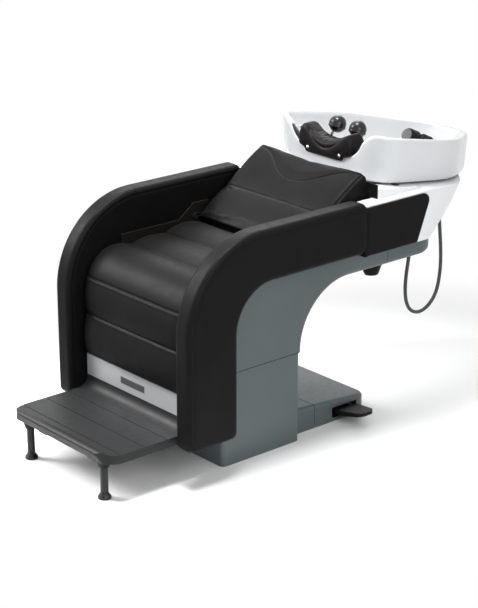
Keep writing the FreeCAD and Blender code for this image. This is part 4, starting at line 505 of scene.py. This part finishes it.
def neck_fold(point):
    """A fold below the saddle, round the front of the cushion."""
    if point.y > neck_low.y + FOLD_REACH:
        return None
    slope = 2 * FOLD_CURVE * point.x
    return abs(point.z - FOLD_HEIGHT - FOLD_CURVE * point.x ** 2) / math.sqrt(1 + slope ** 2)


def neck_crease(point):
    if point.z < CREASE_START or point.y > neck_low.y + CREASE_REACH:
        return None
    lean = (point.y - neck_low.y) * CREASE_LEAN
    return min(abs(point.x - place - lean) for place in CREASE_PLACES)


def neck_fill(point):
    """Nothing by the studs, where the cover is pinned, and 1 elsewhere."""
    return 1.0 if point.y > neck_low.y + NECK_FACE else min(1.0, stud_gap(point) / STUD_EASE)


neck = remeshed("neck_pad", "neck_cushion", NECK_VOXEL, NECK_ROUNDS)
swollen(neck, NECK_GROWTH, neck_fill)
stuffed(neck, neck_held, NECK_SWELL)
finer(neck)
sewn(neck, FOLD_DEPTH, FOLD_WIDTH, neck_fold)
sewn(neck, CREASE_DEPTH, CREASE_WIDTH, neck_crease)
seated(settled(neck), "neck_pad", "bowl", "neck_cushion")

BALL_VOXEL, BALL_ROUNDS = 0.0025, 3
BALL_FOOT = Vector((0, 0.594, 0.868))
BRIM_SHARE, BRIM_DEPTH, BRIM_WIDTH = -0.35, -0.0024, 0.003
balls = remeshed("support_balls", "head_support_pads", BALL_VOXEL, BALL_ROUNDS)
ball_low, ball_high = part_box("head_support_pads")
ball_radius = (ball_high.z - ball_low.z) / 2
ball_centre = (ball_low + ball_high) / 2
ball_way = (Vector((0, ball_centre.y, ball_centre.z)) - BALL_FOOT).normalized()
brim_place = BRIM_SHARE * ball_radius


def brim(point):
    """Distance from the moulded ring round the ball's lower half."""
    offset = Vector((0, point.y - ball_centre.y, point.z - ball_centre.z))
    return abs(offset.dot(ball_way) - brim_place)


sewn(balls, BRIM_DEPTH, BRIM_WIDTH, brim)
seated(settled(balls), "soft_pad", "head_support", "head_support_pads")


# Bowl with rounded rims, and the housing under it

BOWL_VOXEL, BOWL_ROUNDS, HORN_ROUNDS, RIM_ROUNDS = 0.0035, 14, 26, 34
HORN_PLACE, HORN_END, HORN_START = 0.17, 0.61, 0.935
RIM_START, RIM_DEPTH = 0.6, 0.03
RIM_FRONT, RIM_HEIGHT, RIM_FALL = 0.515, 0.969, 0.193
NOSE_START, NOSE_HALF, NOSE_LENGTH = 0.783, 0.271, 0.367
NOSE_PULL = 0.105
NOSE_MIDDLE, NOSE_EASE = 0.02, 0.15


def at_horn(point):
    return abs(point.x) > HORN_PLACE and point.y < HORN_END and point.z > HORN_START


def at_rim(point):
    rim = RIM_HEIGHT - (point.y - RIM_FRONT) * RIM_FALL
    return point.y > RIM_START and point.z > rim - RIM_DEPTH


def rounded(piece, near, rounds):
    """Softens the edges of the part of a piece that is near."""
    group = piece.vertex_groups.new(name="rounded")
    group.add([vertex.index for vertex in piece.data.vertices if near(vertex.co)], 1.0, "REPLACE")
    rounding = piece.modifiers.new("rounding", "SMOOTH")
    rounding.factor = SMOOTH_SHARE
    rounding.iterations = rounds
    rounding.vertex_group = "rounded"
    baked(piece)
    piece.vertex_groups.clear()


def nosed(piece):
    """Draws the rear corners in to a rounder nose; the middle stays, where the hinge and the fittings are."""
    for vertex in piece.data.vertices:
        across, along = abs(vertex.co.x) / NOSE_HALF, (vertex.co.y - NOSE_START) / NOSE_LENGTH
        if along > 0:
            reach = min(math.hypot(across, along), 1.0)
            share = min(max((abs(vertex.co.x) - NOSE_MIDDLE) / NOSE_EASE, 0.0), 1.0)
            share *= share * (3 - 2 * share)
            pull = NOSE_PULL * share * (math.sin(2 * math.atan2(along, across)) * reach) ** 2
            vertex.co.x *= 1 - pull
            vertex.co.y -= (vertex.co.y - NOSE_START) * pull
    return piece


bowl = remeshed("bowl_glazed", "basin", BOWL_VOXEL, BOWL_ROUNDS)
rounded(bowl, at_horn, HORN_ROUNDS)
rounded(bowl, at_rim, RIM_ROUNDS)
seated(settled(nosed(bowl)), "white_bowl", "bowl", "basin")
housing = nosed(copied("housing_skin", "bowl_housing"))
seated(housing, "white_shell", "chair", "bowl_housing")
crisp(housing)


# Trim: bare badge plate, brown facing, a painted shadow band under the upper column cover, a painted shadow
# strip at the joint of the base covers, studs and the returns of the side panels

CORNER_STEPS = 6


def round_rectangle(wide, tall, corner):
    """Outline of a rectangle with rounded corners, about its middle."""
    outline = []
    for turn, (across, up) in enumerate(((1, 1), (-1, 1), (-1, -1), (1, -1))):
        for number in range(CORNER_STEPS + 1):
            angle = math.radians(90 * (turn + number / CORNER_STEPS))
            outline.append((across * (wide / 2 - corner) + corner * math.cos(angle),
                            up * (tall / 2 - corner) + corner * math.sin(angle)))
    return outline


def slab(name, points, thickness):
    """A plate over a flat outline of points, thickened by a vector."""
    net = bmesh.new()
    face = net.faces.new([net.verts.new(point) for point in points])
    grown = bmesh.ops.extrude_face_region(net, geom=[face])["geom"]
    for piece in grown:
        if isinstance(piece, bmesh.types.BMVert):
            piece.co += thickness
    bmesh.ops.recalc_face_normals(net, faces=net.faces)
    mesh = bpy.data.meshes.new(name)
    net.to_mesh(mesh)
    net.free()
    return linked(name, mesh)


def hoop(name, outer, inner, low, high):
    """An upright band between two outlines with as many points."""
    net = bmesh.new()
    rings = [[net.verts.new((x, y, z)) for x, y in outline]
             for outline, z in ((outer, low), (outer, high), (inner, high), (inner, low))]
    for first, second in zip(rings, rings[1:] + rings[:1]):
        for number in range(len(outer)):
            after = (number + 1) % len(outer)
            net.faces.new((first[number], first[after], second[after], second[number]))
    bmesh.ops.recalc_face_normals(net, faces=net.faces)
    mesh = bpy.data.meshes.new(name)
    net.to_mesh(mesh)
    net.free()
    return linked(name, mesh)


def domes(name, places, radius, height):
    """Low domes that look forward."""
    net = bmesh.new()
    for place in places:
        made = bmesh.ops.create_uvsphere(net, u_segments=24, v_segments=12, radius=radius)
        for point in made["verts"]:
            point.co.y *= height / radius
            point.co += Vector(place)
    mesh = bpy.data.meshes.new(name)
    net.to_mesh(mesh)
    net.free()
    return settled(linked(name, mesh))


BADGE_FACE, BADGE_MIDDLE, BADGE_HEIGHT = -0.3031, -0.018, 0.235
BADGE_SIZE, BADGE_THICKNESS = (0.1215, 0.022, 0.002), 0.0014
badge_outline = [Vector((BADGE_MIDDLE + x, BADGE_FACE, BADGE_HEIGHT + z))
                 for x, z in round_rectangle(*BADGE_SIZE)]
seated(slab("badge_plate", badge_outline, Vector((0, -BADGE_THICKNESS, 0))), "shower_rose", "base")

FACING_RISE, FACING_GAP, FACING_THICKNESS = 0.016, 0.0003, 0.002
carrier_low, carrier_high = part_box("bowl_carrier")
facing_top = carrier_high.z + FACING_RISE
facing_outline = [Vector((x, carrier_low.y - FACING_GAP, z)) for x, z in (
    (carrier_low.x, carrier_low.z), (carrier_high.x, carrier_low.z),
    (carrier_high.x, facing_top), (carrier_low.x, facing_top))]
seated(slab("carrier_facing", facing_outline, Vector((0, -FACING_THICKNESS, 0))), "brown_vinyl", "chair")

# Painted shadow: a thin black band just below the upper column cover's lower edge stands in for the shade in
# the gap between the telescoping covers.
SHADOW_BAND_GAP, SHADOW_BAND_OUTER_CORNER, SHADOW_BAND_INNER_CORNER = 0.001, 0.0215, 0.0165
SHADOW_BAND_DROP, SHADOW_BAND_TOP_GAP = 0.0026, 0.0001
upper_low, upper_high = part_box("column_upper_cover")
lower_low, lower_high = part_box("column_lower_cover")
column_depth = lower_high.y - lower_low.y + (upper_high.x - lower_high.x) * 2
shadow_band_outer = round_rectangle(upper_high.x * 2 - SHADOW_BAND_GAP, column_depth - SHADOW_BAND_GAP, SHADOW_BAND_OUTER_CORNER)
shadow_band_inner = round_rectangle(lower_high.x * 2 + SHADOW_BAND_GAP, lower_high.y * 2 + SHADOW_BAND_GAP, SHADOW_BAND_INNER_CORNER)
column_shadow_band = hoop("column_painted_shadow", shadow_band_outer, shadow_band_inner, upper_low.z - SHADOW_BAND_DROP, upper_low.z - SHADOW_BAND_TOP_GAP)
seated(column_shadow_band, "black_plastic", "chair")

# Painted shadow: a thin black strip at the joint between the base's front and rear covers stands in for the
# shade in the gap there.
SEAM_SHADOW_HEIGHT, SEAM_SHADOW_CORNER, SEAM_SHADOW_PROUD, SEAM_SHADOW_THICKNESS = 0.0825, 0.0141, 0.0006, 0.0015
front_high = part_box("base_front_cover")[1]
seam_shadow_outline = [Vector((x, front_high.y - SEAM_SHADOW_PROUD, SEAM_SHADOW_HEIGHT / 2 + z))
                 for x, z in round_rectangle(front_high.x * 2 + SEAM_SHADOW_PROUD, SEAM_SHADOW_HEIGHT, SEAM_SHADOW_CORNER)]
seated(slab("base_seam_shadow", seam_shadow_outline, Vector((0, SEAM_SHADOW_THICKNESS, 0))), "black_plastic", "base")

DOME_HEIGHT, HORN_STUD_RADIUS = 0.0045, 0.0055
HORN_STUD_PLACE, HORN_STUD_INSET, HORN_STUD_HEIGHT = -0.119, 0.004, 0.934
stud_places = [(way * STUD_PLACE, stud_high.y, STUD_HEIGHT) for way in (1, -1)]
seated(domes("stud_domes", stud_places, stud_radius, DOME_HEIGHT), "chrome", "bowl", "neck_studs")
horn_places = [(HORN_STUD_PLACE, neck_low.y + HORN_STUD_INSET, HORN_STUD_HEIGHT)]
seated(domes("horn_stud", horn_places, HORN_STUD_RADIUS, HORN_STUD_RADIUS), "chrome", "bowl")

RETURN_OVERLAP, RETURN_DEPTH, RETURN_INSET, RETURN_DROP = 0.009, 0.0104, 0.0025, 0.001
arm_low, arm_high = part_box("right_arm")
panel_low, panel_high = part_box("right_side_panel")
return_near, return_far = arm_low.x + RETURN_INSET, panel_high.x - RETURN_INSET
return_foot, return_top = panel_low.z - RETURN_DROP, panel_high.z
for way in (1, -1):
    return_outline = [Vector((way * x, arm_high.y - RETURN_OVERLAP, z)) for x, z in (
        (return_near, return_foot), (return_far, return_foot),
        (return_far, return_top), (return_near, return_top))]
    panel_return = slab(f"panel_return_{way + 1}", return_outline, Vector((0, RETURN_DEPTH, 0)))
    seated(panel_return, "black_vinyl", "chair")


# Hose

HOSE_ROUTE = (
    (0.060, 0.884, 0.590), (0.060, 0.884, 0.520), (0.060, 0.874, 0.425), (0.060, 0.863, 0.362),
    (0.060, 0.861, 0.310), (0.060, 0.868, 0.262), (0.060, 0.893, 0.224), (0.060, 0.937, 0.208),
    (0.060, 0.983, 0.222), (0.060, 1.018, 0.256), (0.060, 1.035, 0.304), (0.060, 1.042, 0.372),
    (0.060, 1.037, 0.448), (0.060, 1.027, 0.528), (0.060, 1.020, 0.592), (0.060, 1.020, 0.640),
)
HOSE_RADIUS = 0.0065
line = bpy.data.curves.new("hose_line", "CURVE")
line.dimensions = "3D"
spline = line.splines.new("NURBS")
spline.points.add(len(HOSE_ROUTE) - 1)
for control, place in zip(spline.points, HOSE_ROUTE):
    control.co = (*place, 1)
spline.order_u = 3
spline.use_endpoint_u = True
spline.resolution_u = 12
line.bevel_depth = HOSE_RADIUS
line.bevel_resolution = 6
line.use_fill_caps = True
hose = linked("shower_hose_line", line)
seated(hose, "hose_sleeve", "chair", "shower_hose")


# Rigid nodes are smooth over their curves and crisp at their edges

for node in nodes.values():
    if not node.hide_render:
        crisp(node)


# Stage, light and camera

FLOOR_HALF, FLOOR_DROP = 14, 0.0005
FLOOR_STRETCH, FLOOR_MIDDLE = (1.2, 0.8, 1.0), (0, 0.28, 0)
FADE_START, FADE_END = 0.75, 1.35
WORLD_LIGHT = 0.52
floor_net = bmesh.new()
bmesh.ops.create_grid(floor_net, x_segments=1, y_segments=1, size=FLOOR_HALF)
floor_mesh = bpy.data.meshes.new("floor")
floor_net.to_mesh(floor_mesh)
floor_net.free()
floor = linked("floor", floor_mesh)
floor.location.z = -FLOOR_DROP
floor_skin = Surface(shader("floor_paint", (0.92, 0.92, 0.92), 0.6))
floor_skin.tint(floor_skin.noise(0.8, 2.0), (0.91, 0.91, 0.91), (0.93, 0.93, 0.93))


def looked_at(tree):
    """1 for rays that show the backdrop: straight, mirrored or through glass."""
    path = tree.nodes.new("ShaderNodeLightPath")
    total = path.outputs["Is Camera Ray"]
    for ray in ("Is Glossy Ray", "Is Transmission Ray"):
        add = tree.nodes.new("ShaderNodeMath")
        add.operation = "ADD"
        add.use_clamp = True
        tree.links.new(total, add.inputs[0])
        tree.links.new(path.outputs[ray], add.inputs[1])
        total = add.outputs["Value"]
    return total


# The floor runs out into white away from the object

tree = floor_skin.tree
reach = tree.nodes.new("ShaderNodeVectorMath")
reach.operation = "DISTANCE"
reach.inputs[1].default_value = FLOOR_MIDDLE
floor_skin.link(floor_skin.stretched(FLOOR_STRETCH), reach.inputs[0])
fade = tree.nodes.new("ShaderNodeMapRange")
fade.interpolation_type = "SMOOTHSTEP"
fade.inputs["From Min"].default_value = FADE_START
fade.inputs["From Max"].default_value = FADE_END
floor_skin.link(reach.outputs["Value"], fade.inputs["Value"])
share = tree.nodes.new("ShaderNodeMath")
share.operation = "MULTIPLY"
floor_skin.link(fade.outputs["Result"], share.inputs[0])
floor_skin.link(looked_at(tree), share.inputs[1])
glow = tree.nodes.new("ShaderNodeEmission")
glow.inputs["Strength"].default_value = 1.0
blend = tree.nodes.new("ShaderNodeMixShader")
floor_skin.link(share.outputs["Value"], blend.inputs["Fac"])
floor_skin.link(floor_skin.bsdf.outputs["BSDF"], blend.inputs[1])
floor_skin.link(glow.outputs["Emission"], blend.inputs[2])
floor_skin.link(blend.outputs["Shader"], tree.nodes["Material Output"].inputs["Surface"])
floor.data.materials.append(floor_skin.material)

world = bpy.data.worlds.new("studio")
scene.world = world
world.use_nodes = True
tree = world.node_tree
backdrop = tree.nodes["Background"]
backdrop.inputs["Color"].default_value = (1, 1, 1, 1)
backdrop.inputs["Strength"].default_value = WORLD_LIGHT
white = tree.nodes.new("ShaderNodeBackground")
white.inputs["Color"].default_value = (1, 1, 1, 1)
white.inputs["Strength"].default_value = 1.0
mix = tree.nodes.new("ShaderNodeMixShader")
tree.links.new(looked_at(tree), mix.inputs["Fac"])
tree.links.new(backdrop.outputs["Background"], mix.inputs[1])
tree.links.new(white.outputs["Background"], mix.inputs[2])
tree.links.new(mix.outputs["Shader"], tree.nodes["World Output"].inputs["Surface"])


def lamp(name, place, target, size, power, spread=180):
    data = bpy.data.lights.new(name, "AREA")
    data.shape = "RECTANGLE"
    data.size, data.size_y = size
    data.energy = power
    data.spread = math.radians(spread)
    light = linked(name, data)
    light.location = place
    light.rotation_euler = (Vector(target) - Vector(place)).to_track_quat("-Z", "Y").to_euler()


lamp("top_softbox", (-0.1, -0.2, 3.3), (0, -0.12, 0.6), (1.7, 1.2), 15, 34)
lamp("rear_softbox", (-2.4, 2.1, 3.0), (0, -0.3, 0.6), (2.6, 1.8), 9, 60)
lamp("front_softbox", (-2.5, -2.0, 2.6), (0, -0.45, 0.4), (2.0, 2.0), 24, 44)
lamp("side_softbox", (3.4, -0.7, 2.0), (0, 0.4, 0.6), (2.2, 2.2), 57)

SENSOR_HEIGHT, LENS = 36, 109.63
CAMERA_PLACE, CAMERA_LOOK = (4.3790, -3.6434, 2.4903), (-0.7126, 0.6146, -0.3381)
camera_data = bpy.data.cameras.new("camera")
camera_data.sensor_fit = "VERTICAL"
camera_data.sensor_height = SENSOR_HEIGHT
camera_data.lens = LENS
camera = linked("camera", camera_data)
camera.location = CAMERA_PLACE
camera.rotation_euler = Vector(CAMERA_LOOK).to_track_quat("-Z", "Y").to_euler()
scene.camera = camera
scene.view_settings.view_transform = "Standard"
